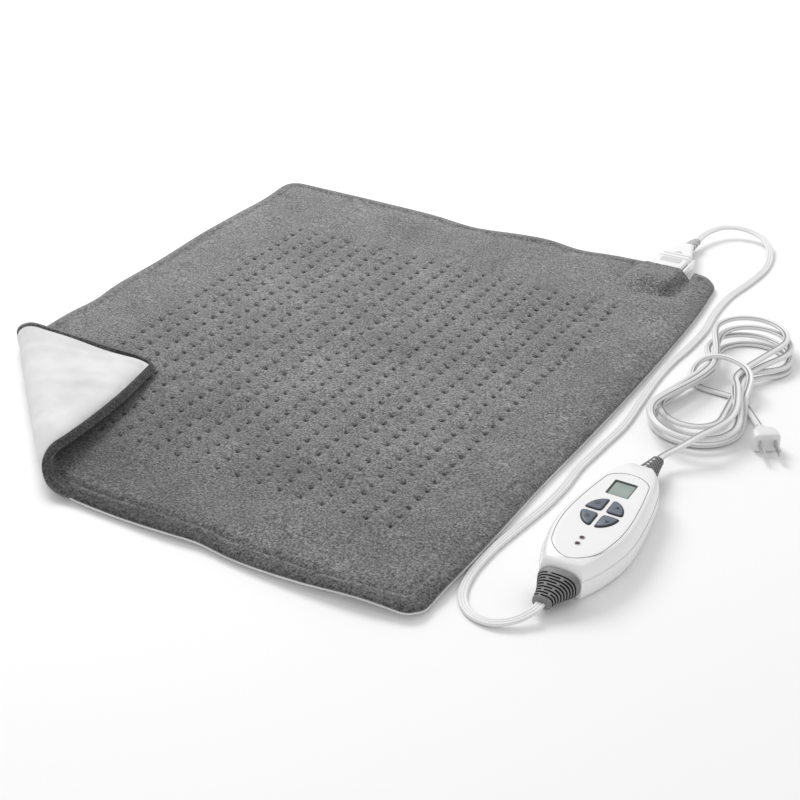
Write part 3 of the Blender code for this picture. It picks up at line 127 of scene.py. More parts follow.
class StageSettings(bpy.types.PropertyGroup):
    azimuth: angle_value("Azimuth", "Camera direction, turned from the front", 30.24)
    elevation: angle_value("Elevation", "Camera height angle", 30.48)
    distance: FloatProperty(name="Distance", description="Camera to target", default=1.31765,
                            unit="LENGTH")
    target: FloatVectorProperty(name="Target", description="Point in the middle of the view",
                                default=(0.09685, -0.04801, 0.0), subtype="XYZ", unit="LENGTH")
    lens: FloatProperty(name="Lens", description="Focal length in millimetres", default=68.56)
    floor_colour: colour_value("Floor", "Floor colour", grey(0.92))
    key_power: FloatProperty(name="Key light", description="Large soft light", default=25.0,
                             unit="POWER")
    fill: FloatProperty(name="Fill", description="Strength of the light from all round", default=0.74)


class CordSettings(bpy.types.PropertyGroup):
    pad_cord_width: length_value("Pad cord width", "Flat cord with three conductors", 7.4)
    mains_cord_width: length_value("Mains cord width", "Flat cord with two conductors", 6.2)
    pad_cord_radius: length_value("Pad cord conductor", "Radius of one conductor", 1.42)
    mains_cord_radius: length_value("Mains cord conductor", "Radius of one conductor", 1.7)
    colour: colour_value("Vinyl", "Cord colour", grey(0.76))


class SoftSettings(bpy.types.PropertyGroup):
    width: length_value("Width", "Pad width", 508)
    length: length_value("Length", "Pad length", 610)
    thickness: length_value("Thickness", "Pad thickness", 9)
    corner: length_value("Corner", "Corner radius", 20)
    turned_corner: length_value("Turned corner", "Radius of the turned-over corner", 7)
    hem_width: length_value("Hem width", "Width of the rolled hem", 10.5)
    hem_height: length_value("Hem height", "Height of the hem over its seam", 5.9)
    seam_height: length_value("Seam height", "Height of the seam with the backing", 2.0)
    hem_bulge: length_value("Hem bulge", "How far the hem stands out", 1.4)
    fold_start: plan_value("Fold start", "Fold line on the left side", -254, -120)
    fold_end: plan_value("Fold end", "Fold line on the front side", -58, -305)
    fold_height: length_value("Fold height", "Height of the middle of the fold", 16)
    fold_angle: angle_value("Fold angle", "How far the corner is turned over", 187)
    dimple_columns: IntProperty(name="Tuft columns", description="Tufts across", default=19)
    dimple_rows: IntProperty(name="Tuft rows", description="Tufts along", default=31)
    dimple_start: plan_value("First tuft", "Back left tuft", -164.4, 192)
    dimple_pitch: plan_value("Tuft spacing", "Spacing across and along", 19.7, 13.9)
    plush_colour: colour_value("Plush", "Plush colour", grey(0.185))
    backing_colour: colour_value("Backing", "Backing colour", grey(0.69))


# ---------------------------------------------------------------- paths

def millimetres(points):
    return [Vector(point) * MM for point in points]


def smooth_path(points, spacing):
    """Points at an even spacing on a Catmull-Rom curve through the given points."""
    dense = []
    for i in range(len(points) - 1):
        p1, p2 = points[i], points[i + 1]
        p0 = points[i - 1] if i else p1 * 2 - p2
        p3 = points[i + 2] if i + 2 < len(points) else p2 * 2 - p1
        for step in range(ROUTE_STEPS):
            t = step / ROUTE_STEPS
            dense.append(0.5 * (2 * p1 + (p2 - p0) * t + (2 * p0 - 5 * p1 + 4 * p2 - p3) * t**2
                                + (3 * p1 - p0 - 3 * p2 + p3) * t**3))
    dense.append(points[-1])
    total = path_length(dense)
    count = round(total / spacing)
    even = [dense[0]]
    travelled, target = 0.0, total / count
    for a, b in zip(dense, dense[1:]):
        length = (b - a).length
        while travelled + length >= target and len(even) < count:
            even.append(a.lerp(b, (target - travelled) / length))
            target += total / count
        travelled += length
    even.append(dense[-1])
    return even


def path_length(path):
    return sum((b - a).length for a, b in zip(path, path[1:]))


def eased(path, rounds, kept=3):
    """Take the small kinks out of a path, with both ends left as they are."""
    for _ in range(rounds):
        middle = [(a + 2 * b + c) / 4 for a, b, c in zip(path, path[1:], path[2:])]
        path = path[:kept] + middle[kept - 1:len(path) - 1 - kept] + path[-kept:]
    return path


def lobe(left, right, tip, heights, way):
    """Points round one lobe of the hank: from the right over the tip to the left, or back."""
    radius = (right - left) / 2
    centre_x = (left + right) / 2
    centre_y = tip - way * radius
    high, low = heights
    start, end = (-20, 200) if way > 0 else (160, 380)
    points = []
    for step in range(9):
        angle = math.radians(start + (end - start) * step / 8)
        side = 0.5 - 0.5 * math.cos(angle)
        points.append((centre_x + radius * math.cos(angle), centre_y + radius * math.sin(angle),
                       low + (high - low) * side))
    return points


def hank_points():
    """All turns of the hank, top turn first, in millimetres."""
    points = []
    for turn, (upper, lower, heights) in enumerate(HANK_TURNS):
        (right_x, right_z), (left_x, left_z) = HANK_WAIST_PLACES[turn]
        high, low = heights
        points.append((right_x, HANK_WAIST_Y, right_z))
        points += lobe(*upper, (high, max(high - 0.6, low)), 1)
        points.append((left_x, HANK_WAIST_Y, left_z))
        points += lobe(*lower, (max(high - 0.8, low), low), -1)
    return points


# ---------------------------------------------------------------- materials

def new_material(name, colour, roughness, metallic=0.0, **sockets):
    """A Principled material whose even values sit on the shader's own sockets."""
    material = bpy.data.materials.new(f"{name}_finish")
    material.use_nodes = True
    shader = shader_of(material)
    shader.inputs["Base Color"].default_value = (*colour, 1.0)
    shader.inputs["Roughness"].default_value = roughness
    shader.inputs["Metallic"].default_value = metallic
    for socket, value in sockets.items():
        shader.inputs[socket.replace("_", " ")].default_value = value
    return material


def finish(name):
    return bpy.data.materials[f"{name}_finish"]


def shader_of(material):
    return material.node_tree.nodes["Principled BSDF"]


def add_node(material, kind, **values):
    node = material.node_tree.nodes.new(kind)
    for key, value in values.items():
        if key in node.inputs:
            node.inputs[key].default_value = value
        else:
            setattr(node, key, value)
    return node


def link(material, start, end):
    material.node_tree.links.new(start, end)


def add_texture(material, kind, **values):
    """A texture that is fixed to the object."""
    place = add_node(material, "ShaderNodeTexCoord")
    texture = add_node(material, kind, **values)
    link(material, place.outputs["Object"], texture.inputs["Vector"])
    return texture


def add_noise(material, scale, detail=3.0, roughness=0.55):
    return add_texture(material, "ShaderNodeTexNoise", Scale=scale, Detail=detail,
                       Roughness=roughness).outputs["Fac"]


def add_bump(material, height, strength, distance):
    """Bump from a height output, laid over any bump that is already there."""
    bump = add_node(material, "ShaderNodeBump", Strength=strength, Distance=distance)
    link(material, height, bump.inputs["Height"])
    normal = shader_of(material).inputs["Normal"]
    if normal.is_linked:
        link(material, normal.links[0].from_socket, bump.inputs["Normal"])
    link(material, bump.outputs["Normal"], normal)


def scaled(colour, share):
    return [share * part for part in colour]


def add_mottle(material, output, dark, light, low=0.35, high=0.65):
    """Base colour that varies between two values with a texture."""
    ramp = add_node(material, "ShaderNodeValToRGB")
    for element, place, colour in zip(ramp.color_ramp.elements, (low, high), (dark, light)):
        element.position = place
        element.color = (*colour, 1.0)
    link(material, output, ramp.inputs["Fac"])
    link(material, ramp.outputs["Color"], shader_of(material).inputs["Base Color"])


def add_tint(material, output, low, high, start=0.0, end=1.0, clamp=True):
    """Multiplies the base colour by a value that runs from low to high with an output."""
    spread = add_node(material, "ShaderNodeMapRange", clamp=clamp)
    for socket, value in (("From Min", start), ("From Max", end), ("To Min", low), ("To Max", high)):
        spread.inputs[socket].default_value = value
    product = add_node(material, "ShaderNodeVectorMath", operation="MULTIPLY")
    base = shader_of(material).inputs["Base Color"]
    link(material, output, spread.inputs["Value"])
    link(material, base.links[0].from_socket, product.inputs[0])
    link(material, spread.outputs["Result"], product.inputs[1])
    link(material, product.outputs["Vector"], base)


def vertex_values(material, name):
    return add_node(material, "ShaderNodeAttribute", attribute_name=name).outputs["Fac"]


def vinyl_material(name, colour, roughness=0.38):
    """Soft cord vinyl: faint cloudiness, painted shade in the grooves and a fine orange-peel surface.
    """
    material = new_material(name, colour, roughness, Coat_Weight=0.15, Coat_Roughness=0.3)
    add_mottle(material, add_noise(material, 60.0, 2.0), scaled(colour, 0.97), colour)
    # Painted shade in the grooves between the conductors.
    add_tint(material, vertex_values(material, "groove"), 1.0, 0.30)
    add_bump(material, add_noise(material, 900.0, 2.0), 0.12, 0.0002)


def plush_material(name, colour):
    """Short dense nap: fine grain over soft mottling, with painted shade in the pits, a darker hem that
    is partly denser nap and partly painted shade, and a painted highlight on the sewn ridge.
    """
    material = new_material(name, colour, 0.95, Sheen_Weight=0.35, Sheen_Roughness=0.45,
                            Specular_IOR_Level=0.15)
    mottle, tufts, clumps, grain = (
        add_noise(material, scale, detail, 0.6)
        for scale, detail in ((9.0, 3.0), (70.0, 3.0), (230.0, 2.0), (560.0, 2.0)))
    add_mottle(material, mottle, scaled(colour, 0.86), scaled(colour, 1.12), 0.34, 0.66)
    for texture, low, high in ((tufts, 0.88, 1.10), (clumps, 0.76, 1.20), (grain, 0.24, 1.76)):
        add_tint(material, texture, low, high, 0.3, 0.7)
    # Painted light from the shade values: they darken the pits, the hem and the front left, and their
    # negative values brighten the sewn ridge as a painted highlight.
    add_tint(material, vertex_values(material, "shade"), 1.0, 0.10, clamp=False)
    add_bump(material, grain, 0.9, 0.0009)
    add_bump(material, tufts, 0.5, 0.002)


def backing_material(name, colour):
    """Smooth white knit: very fine ribs and a faint cloudiness."""
    material = new_material(name, colour, 0.75, Sheen_Weight=0.2)
    add_mottle(material, add_noise(material, 22.0), scaled(colour, 0.86), scaled(colour, 1.06))
    knit = add_texture(material, "ShaderNodeTexWave", Scale=420.0, Distortion=1.5, Detail=2.0)
    add_bump(material, knit.outputs["Fac"], 0.25, 0.0002)


def plastic_material(name, colour, roughness, coat):
    """Moulded plastic: a slight sink-mark ripple and fine texture."""
    material = new_material(name, colour, roughness, Coat_Weight=coat, Coat_Roughness=0.15)
    add_mottle(material, add_noise(material, 35.0, 2.0), scaled(colour, 0.975), colour, 0.3, 0.7)
    add_bump(material, add_noise(material, 1400.0, 1.0), 0.05, 0.0001)


def rubber_material(name, colour, roughness):
    material = new_material(name, colour, roughness)
    add_mottle(material, add_noise(material, 120.0, 4.0), scaled(colour, 0.85), scaled(colour, 1.12))
    add_bump(material, add_noise(material, 1800.0, 2.0), 0.25, 0.0002)


def mesh_material(name, light, dark, pitch):
    """Moulded diamond mesh: two sets of crossed ribs over a darker ground, which is painted shade
    between the ribs.
    """
    material = new_material(name, light, 0.6)
    place = add_node(material, "ShaderNodeTexCoord")
    highest = add_node(material, "ShaderNodeMath", operation="MAXIMUM")
    for turn, height in zip((38, -38), highest.inputs):
        mapping = add_node(material, "ShaderNodeMapping", Rotation=(0.0, 0.0, math.radians(turn)))
        wave = add_node(material, "ShaderNodeTexWave", Scale=0.314 / pitch)
        link(material, place.outputs["Object"], mapping.inputs["Vector"])
        link(material, mapping.outputs["Vector"], wave.inputs["Vector"])
        link(material, wave.outputs["Fac"], height)
    # Painted shade: the ground between the ribs takes the dark colour.
    add_mottle(material, highest.outputs["Value"], dark, light, 0.62, 0.86)
    add_bump(material, highest.outputs["Value"], 0.6, 0.0006)


def metal_material(name, colour, roughness):
    """Drawn or pressed metal with a fine brushed variation."""
    material = new_material(name, colour, roughness, 1.0)
    brushed = add_noise(material, 300.0, 4.0)
    spread = add_node(material, "ShaderNodeMapRange")
    spread.inputs["To Min"].default_value = roughness * 0.8
    spread.inputs["To Max"].default_value = roughness * 1.3
    link(material, brushed, spread.inputs["Value"])
    link(material, spread.outputs["Result"], shader_of(material).inputs["Roughness"])
    add_bump(material, brushed, 0.1, 0.0001)


def felt_material(name, colour):
    material = new_material(name, colour, 0.95, Sheen_Weight=0.2)
    fibres = add_noise(material, 260.0, 6.0, 0.7)
    add_mottle(material, fibres, scaled(colour, 0.8), scaled(colour, 1.08))
    add_bump(material, fibres, 0.7, 0.0006)


def board_material(name, colour):
    """Circuit board lacquer over fine copper tracks."""
    material = new_material(name, colour, 0.35, Coat_Weight=0.4)
    tracks = add_texture(material, "ShaderNodeTexVoronoi", Scale=280.0, distance="MANHATTAN")
    add_mottle(material, tracks.outputs["Distance"], scaled(colour, 0.7), scaled(colour, 1.3))


# Name, colour, roughness and coat of each moulded finish
PLASTICS = (
    ("white_plastic", grey(0.87), 0.28, 0.4), ("panel_grey", grey(0.62), 0.45, 0.1),
    ("seam_grey", grey(0.16), 0.5, 0.0), ("petal_blue", (0.115, 0.135, 0.175), 0.4, 0.2),
    ("petal_rim", (0.018, 0.022, 0.032), 0.45, 0.1), ("icon_dark", (0.012, 0.016, 0.030), 0.5, 0.0),
    ("window_dark", (0.045, 0.060, 0.055), 0.4, 0.2), ("lamp_ring", grey(0.62), 0.3, 0.3),
    ("black_part", grey(0.02), 0.45, 0.1), ("film_case", (0.42, 0.10, 0.03), 0.35, 0.3),
)


def make_materials(cords, soft):
    """The finishes shared by new pieces and by the parts that keep their shape."""
    vinyl_material("cord_vinyl", cords.colour)
    vinyl_material("wire", (0.70, 0.66, 0.58))
    plush_material("grey_plush", soft.plush_colour)
    backing_material("white_backing", soft.backing_colour)
    for row in PLASTICS:
        plastic_material(*row)
    rubber_material("boot_grey", grey(0.20), 0.5)
    # Near-black painted shade for the floors of the boot's slots.
    rubber_material("slot_painted_shade", grey(0.012), 0.8)
    mesh_material("rear_mesh", grey(0.20), grey(0.010), 2.3 * MM)
    mesh_material("relief_mesh", grey(0.66), grey(0.22), 1.9 * MM)
    metal_material("steel", (0.60, 0.60, 0.60), 0.28)
    metal_material("brass", (0.72, 0.52, 0.24), 0.3)
    felt_material("felt", (0.72, 0.70, 0.66))
    board_material("board", (0.02, 0.12, 0.05))
    glass = new_material("display", (0.30, 0.36, 0.33), 0.22, Coat_Weight=0.8, Coat_Roughness=0.05)
    add_mottle(glass, add_noise(glass, 60.0, 1.0), (0.27, 0.33, 0.30), (0.33, 0.39, 0.36))
    lamp = new_material("lamp", (0.020, 0.002, 0.003), 0.15, Coat_Weight=1.0, Coat_Roughness=0.05)
    add_mottle(lamp, add_noise(lamp, 700.0), (0.012, 0.001, 0.002), (0.035, 0.003, 0.005))


# The finish that each of the frame's material slots takes
FINISHES = {"felt": "felt", "wire": "wire", "brass": "brass", "steel": "steel",
            "white_plastic": "white_plastic", "white_vinyl": "cord_vinyl", "grey_rubber": "boot_grey",
            "slate_button": "petal_blue", "display": "display", "lamp": "lamp", "board": "board",
            "black_part": "black_part", "film_case": "film_case", "plush": "grey_plush",
            "backing": "white_backing"}


class PAD_OT_finishes(bpy.types.Operator):
    """Shared finishes, and their use on the parts that keep their own shape"""
    bl_idname = "heating_pad.finishes"
    bl_label = "Finishes"

    def execute(self, context):
        make_materials(context.scene.pad_cords, context.scene.pad_soft)
        for name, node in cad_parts.items():
            slot = node.material_slots[0].material.name.split(".")[0]
            chosen = finish("white_plastic" if name == "socket_shell" else FINISHES[slot])
            for holder in node.material_slots:
                holder.material = chosen
        return {"FINISHED"}


# ---------------------------------------------------------------- mesh helpers

def finish_piece(bm, name, finish_name, body, smooth_angle=40):
    """Make the bmesh an object that rides on a body."""
    mesh = bpy.data.meshes.new(name)
    bmesh.ops.recalc_face_normals(bm, faces=bm.faces[:])
    bm.to_mesh(mesh)
    bm.free()
    return finish_mesh(mesh, name, finish_name, body, smooth_angle)


def finish_mesh(mesh, name, finish_name, body, smooth_angle):
    mesh.shade_smooth()
    mesh.set_sharp_from_angle(angle=math.radians(smooth_angle))
    mesh.materials.append(finish(finish_name))
    piece = bpy.data.objects.new(name, mesh)
    bpy.context.scene.collection.objects.link(piece)
    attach(piece, body)
    return piece


def set_values(mesh, name, values):
    """One number on each vertex, for a material to read."""
    mesh.attributes.new(name, "FLOAT", "POINT").data.foreach_set("value", values)


def verts_of(made):
    return [item for item in made["geom"] if isinstance(item, bmesh.types.BMVert)]


def doubled(bm, faces):
    """Extrudes faces without taking the old ones away, and gives the new vertices."""
    return verts_of(bmesh.ops.extrude_face_region(bm, geom=faces, use_keep_orig=True))


def ribbon_section(conductors, width, radius, steps=6):
    """Cross-section of a flat cord: round conductors side by side, with grooves between them."""
    spacing = (width - 2 * radius) / (conductors - 1)
    dip = math.acos(min(1.0, spacing / (2 * radius)) * 0.97)
    top = []
    for i in range(conductors):
        centre = (i - (conductors - 1) / 2) * spacing
        start = math.pi if i == 0 else math.pi - dip
        end = 0.0 if i == conductors - 1 else dip
        for step in range(steps + 1):
            angle = start + (end - start) * step / steps
            top.append((centre + radius * math.cos(angle), radius * math.sin(angle)))
    bottom = [(x, -y) for x, y in reversed(top[1:-1])]
    return top + bottom


def swept_mesh(name, path, section):
    """A level section drawn along a path, with its ends closed."""
    outline = bpy.data.curves.new(name + "_section", "CURVE")
    spline = outline.splines.new("POLY")
    spline.points.add(len(section) - 1)
    for spot, (x, y) in zip(spline.points, section):
        spot.co = (x, y, 0.0, 1.0)
    spline.use_cyclic_u = True
    outline_object = bpy.data.objects.new(name + "_section", outline)
    line = bpy.data.curves.new(name, "CURVE")
    line.dimensions = "3D"
    line.twist_mode = "Z_UP"
    line.bevel_mode = "OBJECT"
    line.bevel_object = outline_object
    line.use_fill_caps = True
    spline = line.splines.new("POLY")
    spline.points.add(len(path) - 1)
    for spot, point in zip(spline.points, path):
        spot.co = (*point, 1.0)
    holder = bpy.data.objects.new(name + "_line", line)
    for part in (outline_object, holder):
        bpy.context.scene.collection.objects.link(part)
    bpy.context.view_layer.update()
    mesh = bpy.data.meshes.new_from_object(holder.evaluated_get(bpy.context.evaluated_depsgraph_get()))
    mesh.name = name
    for part in (holder, outline_object):
        bpy.data.objects.remove(part, do_unlink=True)
    bm = bmesh.new()
    bm.from_mesh(mesh)
    bmesh.ops.remove_doubles(bm, verts=bm.verts[:], dist=WELD)
    bmesh.ops.recalc_face_normals(bm, faces=bm.faces[:])
    bm.to_mesh(mesh)
    bm.free()
    mesh.materials.clear()
    half_width, half_height = -section[0][0], max(abs(y) for _, y in section)
    # Groove values mark the valleys between the conductors, which the vinyl darkens as painted shade.
    shares = [float(abs(y) < 0.62 * half_height and abs(x) < 0.8 * half_width) for x, y in section]
    set_values(mesh, "groove", [shares[i % len(section)] if i < len(section) * len(path) else 0.0
                                for i in range(len(mesh.vertices))])
    return mesh


# ---------------------------------------------------------------- stage

class PAD_OT_stage(bpy.types.Operator):
    """Pale floor, soft light and the camera"""
    bl_idname = "heating_pad.stage"
    bl_label = "Stage"

    def execute(self, context):
        settings = context.scene.pad_stage
        context.scene.view_settings.view_transform = "Standard"
        self.add_camera(context, settings)
        self.add_floor(settings)
        self.add_lights(context, settings)
        return {"FINISHED"}

    def add_camera(self, context, settings):
        az, el = settings.azimuth, settings.elevation
        back = Vector((math.sin(az) * math.cos(el), -math.cos(az) * math.cos(el), math.sin(el)))
        camera = bpy.data.objects.new("camera", bpy.data.cameras.new("camera"))
        camera.location = Vector(settings.target) + back * settings.distance
        camera.rotation_euler = (math.pi / 2 - el, 0.0, az)
        camera.data.lens = settings.lens
        camera.data.clip_start = 0.01
        context.scene.collection.objects.link(camera)
        context.scene.camera = camera

    def add_floor(self, settings):
        bm = bmesh.new()
        bmesh.ops.create_circle(bm, cap_ends=True, segments=96, radius=8.0)
        bmesh.ops.translate(bm, verts=bm.verts[:], vec=(0.0, 0.0, -0.0003))
        mesh = bpy.data.meshes.new("floor")
        bm.to_mesh(mesh)
        bm.free()
        mesh.materials.append(new_material("floor_paper", settings.floor_colour, 0.7))
        floor = bpy.data.objects.new("floor", mesh)
        bpy.context.scene.collection.objects.link(floor)

    def add_lights(self, context, settings):
        world = bpy.data.worlds.new("studio")
        world.use_nodes = True
        background = world.node_tree.nodes["Background"]
        background.inputs["Color"].default_value = (*grey(1.0), 1.0)
        background.inputs["Strength"].default_value = settings.fill
        context.scene.world = world
        key = bpy.data.lights.new("key", "AREA")
        key.shape = "DISK"
        key.size = 1.1
        key.energy = settings.key_power
        light = bpy.data.objects.new("key", key)
        light.location = (-1.05, 0.75, 1.55)
        aim = Vector((0.1, 0.0, 0.0)) - light.location
        light.rotation_euler = aim.to_track_quat("-Z", "Y").to_euler()
        context.scene.collection.objects.link(light)


# ---------------------------------------------------------------- cords

class PAD_OT_pad_cord(bpy.types.Operator):
    """Flat cord from the connector to the hand controller"""
    bl_idname = "heating_pad.pad_cord"
    bl_label = "Pad Cord"

    def execute(self, context):
        settings = context.scene.pad_cords
        first = Vector((207.0, 374.6, 8.4)) * MM
        last = Vector((329.5, -253.6, 9.0)) * MM
        straight = Vector((0, 6, 0)) * MM
        points = [first, first + straight] + millimetres(PAD_LEAD_ROUTE) + [last - straight, last]
        drop, free_height = 1.7 * MM, 8 * MM
        path = [point - Vector((0, 0, drop * max(0.0, 1 - point.z / free_height)))
                for point in smooth_path(points, 3.0 * MM)]
        section = ribbon_section(3, settings.pad_cord_width, settings.pad_cord_radius)
        mesh = swept_mesh("pad_cord", path, section)
        piece = finish_mesh(mesh, "pad_cord", "cord_vinyl", CORD_SET, 60)
        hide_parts("pad_lead_cord")
        return {"FINISHED"}


class PAD_OT_mains_cord(bpy.types.Operator):
    """Flat cord from the hand controller through the hank to the plug"""
    bl_idname = "heating_pad.mains_cord"
    bl_label = "Mains Cord"

    def execute(self, context):
        settings = context.scene.pad_cords
        first = Vector((332.5, -44.4, 12.0)) * MM
        last = Vector((383.9, 51.2, 8.5)) * MM
        route = MAINS_RUN_ROUTE + tuple(hank_points()) + WRAP_ROUTE
        points = [first, first + Vector((0, 6, 0)) * MM] + millimetres(route) + [last]
        path = eased(smooth_path(points, 2.6 * MM), 6)
        section = ribbon_section(2, settings.mains_cord_width, settings.mains_cord_radius)
        mesh = swept_mesh("mains_cord", path, section)
        piece = finish_mesh(mesh, "mains_cord", "cord_vinyl", CORD_SET, 60)
        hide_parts("mains_cord_run", "mains_cord_hank", "plug_lead")
        return {"FINISHED"}


# ---------------------------------------------------------------- pad shape

def smooth_share(value, low, high):
    """0 below low, 1 above high, and a soft rise between."""
    share = np.clip((value - low) / (high - low), 0.0, 1.0)
    return share * share * (3 - 2 * share)


def blend_values(at, rows):
    """Smooth curve through a few rows of place and value."""
    places, values = (np.array(column, dtype=float) for column in zip(*rows))
    slopes = np.gradient(values, places)
    row = np.clip(np.searchsorted(places, at) - 1, 0, len(rows) - 2)
    gap = places[row + 1] - places[row]
    part = np.clip((at - places[row]) / gap, 0.0, 1.0)
    return (values[row] * (1 + 2 * part) * (1 - part) ** 2 + slopes[row] * gap * part * (1 - part) ** 2
            + values[row + 1] * part**2 * (3 - 2 * part) - slopes[row + 1] * gap * part**2 * (1 - part))


def grid_lines(low, high, marks, steps, widest, edge):
    """Places for grid lines: close together at the ends and at each mark, wider between."""
    places = {low + step for step in edge} | {high - step for step in edge}
    places |= {mark + side * step for mark in marks for step in steps for side in (-1, 1)}
    lines = [low]
    for place in sorted(places)[1:]:
        gap = place - lines[-1]
        if gap < 0.3 * MM:
            continue
        extra = int(gap / widest)
        first = lines[-1]
        lines += [first + gap * (i + 1) / (extra + 1) for i in range(extra)]
        lines.append(place)
    lines[-1] = high
    return np.array(lines)


def spaced_grid(bm, x_lines, y_lines):
    """A grid whose lines stand at the given places."""
    bmesh.ops.create_grid(bm, x_segments=len(x_lines) - 1, y_segments=len(y_lines) - 1, size=1.0)
    for vert in bm.verts:
        i = round((vert.co.x + 1) / 2 * (len(x_lines) - 1))
        j = round((vert.co.y + 1) / 2 * (len(y_lines) - 1))
        vert.co = (x_lines[i], y_lines[j], 0.0)


def read_points(bm):
    return np.array([vert.co[:] for vert in bm.verts])


def write_points(bm, points):
    for vert, point in zip(bm.verts, points):
        vert.co = point


def side_distances(x, y, settings):
    """Distances in from the left, right, front and back sides."""
    half_x, half_y = settings.width / 2, settings.length / 2
    return x + half_x, half_x - x, y + half_y, half_y - y


# How far each side stands out from a straight line, as place along the side and growth, in millimetres
RIGHT_GROWTH = ((-305, 6), (-250, 8), (-110, 8), (-30, 11), (60, 12.5), (150, 12), (225, 10), (305, 3))
FRONT_GROWTH = ((-254, -12), (-190, 1), (-120, 7), (-60, 7), (-10, 8), (50, 7), (76, 5), (106, 8),
                (165, 9), (205, 6), (254, 0))
LEFT_GROWTH = ((-305, 10), (-215, 5), (-120, -1), (-70, -1), (-42, -4), (-5, -1), (60, -2), (145, 0),
               (205, -2), (240, -4), (305, 0))
BACK_GROWTH = ((-254, 0), (-130, -1), (-60, -3), (-15, -8), (40, -3), (75, 0), (106, -3), (140, 0),
               (240, 0), (254, -3))
SIDE_FADE = 90 * MM
# Radius of the front right corner over that of the back corners
FRONT_CORNER = 0.6
# How far each side's hem lifts off the floor, the same way
FRONT_LIFT = ((-60, 2.0), (0, 1.4), (60, 2.6), (100, 1.6), (170, 4.0), (215, 6.0), (245, 3.0))
BACK_LIFT = ((-254, 0.5), (-60, 0.5), (-15, 0.0), (60, 2.0), (110, 0.0), (150, 1.0))
RIGHT_LIFT = ((-290, 3.0), (-240, 2.4), (-180, 0.6), (0, 0.8), (150, 0.4))
LIFT_REACH = 20 * MM
# Soft waves of the plush: height, wavelengths along X and Y over two pi, in millimetres, and phase
PLUSH_WAVES = ((0.30, 13.0, 31.0, 0.0), (0.34, 29.0, -17.0, 1.3), (0.26, 19.0, 11.0, 0.4),
               (0.16, 7.0, -9.0, 2.0))
# On the turned-over corner the seam lies lower and the hem stands further out
TURNED_SEAM_DROP = 1.9 * MM
TURNED_HEM_RISE = 2.2 * MM
TURNED_BULGE = 3.6 * MM


def pad_plan(x, y, settings):
    """Turns square grid places into the pad's plan: round corners and slightly wavy sides.
    Gives the plan, the distance in from the edge, and the way out at each point."""
    half = np.array((settings.width / 2, settings.length / 2))
    left, right, front, back = side_distances(x, y, settings)
    edge = np.clip(np.minimum(np.minimum(left, right), np.minimum(front, back)), 0.0, None)
    flat = np.stack((x, y), axis=1)
    front_radius = np.where(x < 0, settings.turned_corner, FRONT_CORNER * settings.corner)
    radius = np.where(y < 0, front_radius, settings.corner)[:, None]
    over = np.clip(np.abs(flat) - (half - radius), 0.0, None) / radius
    length = np.maximum(np.hypot(over[:, 0], over[:, 1]), 1e-9)
    in_corner = (over[:, 0] > 0) & (over[:, 1] > 0)
    rounded = over * (np.max(over, axis=1) / length)[:, None]
    plan = np.where(in_corner[:, None], np.sign(flat) * (half - radius + rounded * radius), flat)
    sides = np.where((np.minimum(left, right) < np.minimum(front, back))[:, None],
                     np.stack((np.sign(x), 0 * x), axis=1), np.stack((0 * y, np.sign(y)), axis=1))
    out = np.where(in_corner[:, None], np.sign(flat) * over / length[:, None], sides)
    along_x, along_y = x / MM, y / MM
    right_out, front_out, left_out, back_out = (
        blend_values(along, rows) * (1 - smooth_share(distance, 0.0, SIDE_FADE))
        for along, rows, distance in ((along_y, RIGHT_GROWTH, right), (along_x, FRONT_GROWTH, front),
                                      (along_y, LEFT_GROWTH, left), (along_x, BACK_GROWTH, back)))
    plan[:, 0] += (right_out - left_out) * MM
    plan[:, 1] += (back_out - front_out) * MM
    return plan, edge, out


def edge_lift(x, y, settings):
    """How far the hem stands off the floor."""
    _, right, front, back = side_distances(x, y, settings)
    front_lift, back_lift, right_lift = (
        blend_values(along / MM, rows) * (1 - smooth_share(distance, 0.0, LIFT_REACH))
        for along, rows, distance in ((x, FRONT_LIFT, front), (x, BACK_LIFT, back),
                                      (y, RIGHT_LIFT, right)))
    return MM * (front_lift + back_lift + right_lift * smooth_share(front, 0.0, 2 * LIFT_REACH))


def fold_over(points, settings):
    """Turns the front left corner up and over about the fold line."""
    start = np.array(settings.fold_start)
    along = np.array(settings.fold_end) - start
    along = along / np.linalg.norm(along)
    across = np.array((along[1], -along[0]))
    centre = settings.fold_height
    neutral = centre - settings.thickness / 2
    flat = points[:, :2] - start
    distance = flat @ across
    angle = np.minimum(distance / neutral, settings.fold_angle)
    beyond = np.maximum(distance - neutral * settings.fold_angle, 0.0)
    radius = centre - points[:, 2]
    out = radius * np.sin(angle) + beyond * np.cos(angle)
    turned = np.empty_like(points)
    turned[:, :2] = start + np.outer(flat @ along, along) + np.outer(out, across)
    turned[:, 2] = centre - radius * np.cos(angle) + beyond * np.sin(angle)
    return np.where((distance > 0)[:, None], turned, points)


def past_fold(plan, settings):
    """0 on the flat pad and 1 on the turned-over corner."""
    start, end = np.array(settings.fold_start), np.array(settings.fold_end)
    along = (end - start) / np.linalg.norm(end - start)
    return smooth_share((plan - start) @ np.array((along[1], -along[0])), -12 * MM, 14 * MM)


TUFT_SEED = 5


def dimple_places(settings):
    """Each tuft's place, depth and size, with the slight unevenness of sewing."""
    noise.seed_set(TUFT_SEED)
    rows = []
    for column in range(settings.dimple_columns):
        for row in range(settings.dimple_rows):
            x = settings.dimple_start[0] + column * settings.dimple_pitch[0]
            y = settings.dimple_start[1] - row * settings.dimple_pitch[1]
            shift = noise.noise_vector(Vector((column * 3.7, row * 2.9, 0.5)))
            rows.append((x + 1.0 * MM * shift.x, y + 1.0 * MM * shift.y, 1 + 0.35 * shift.z))
    return rows


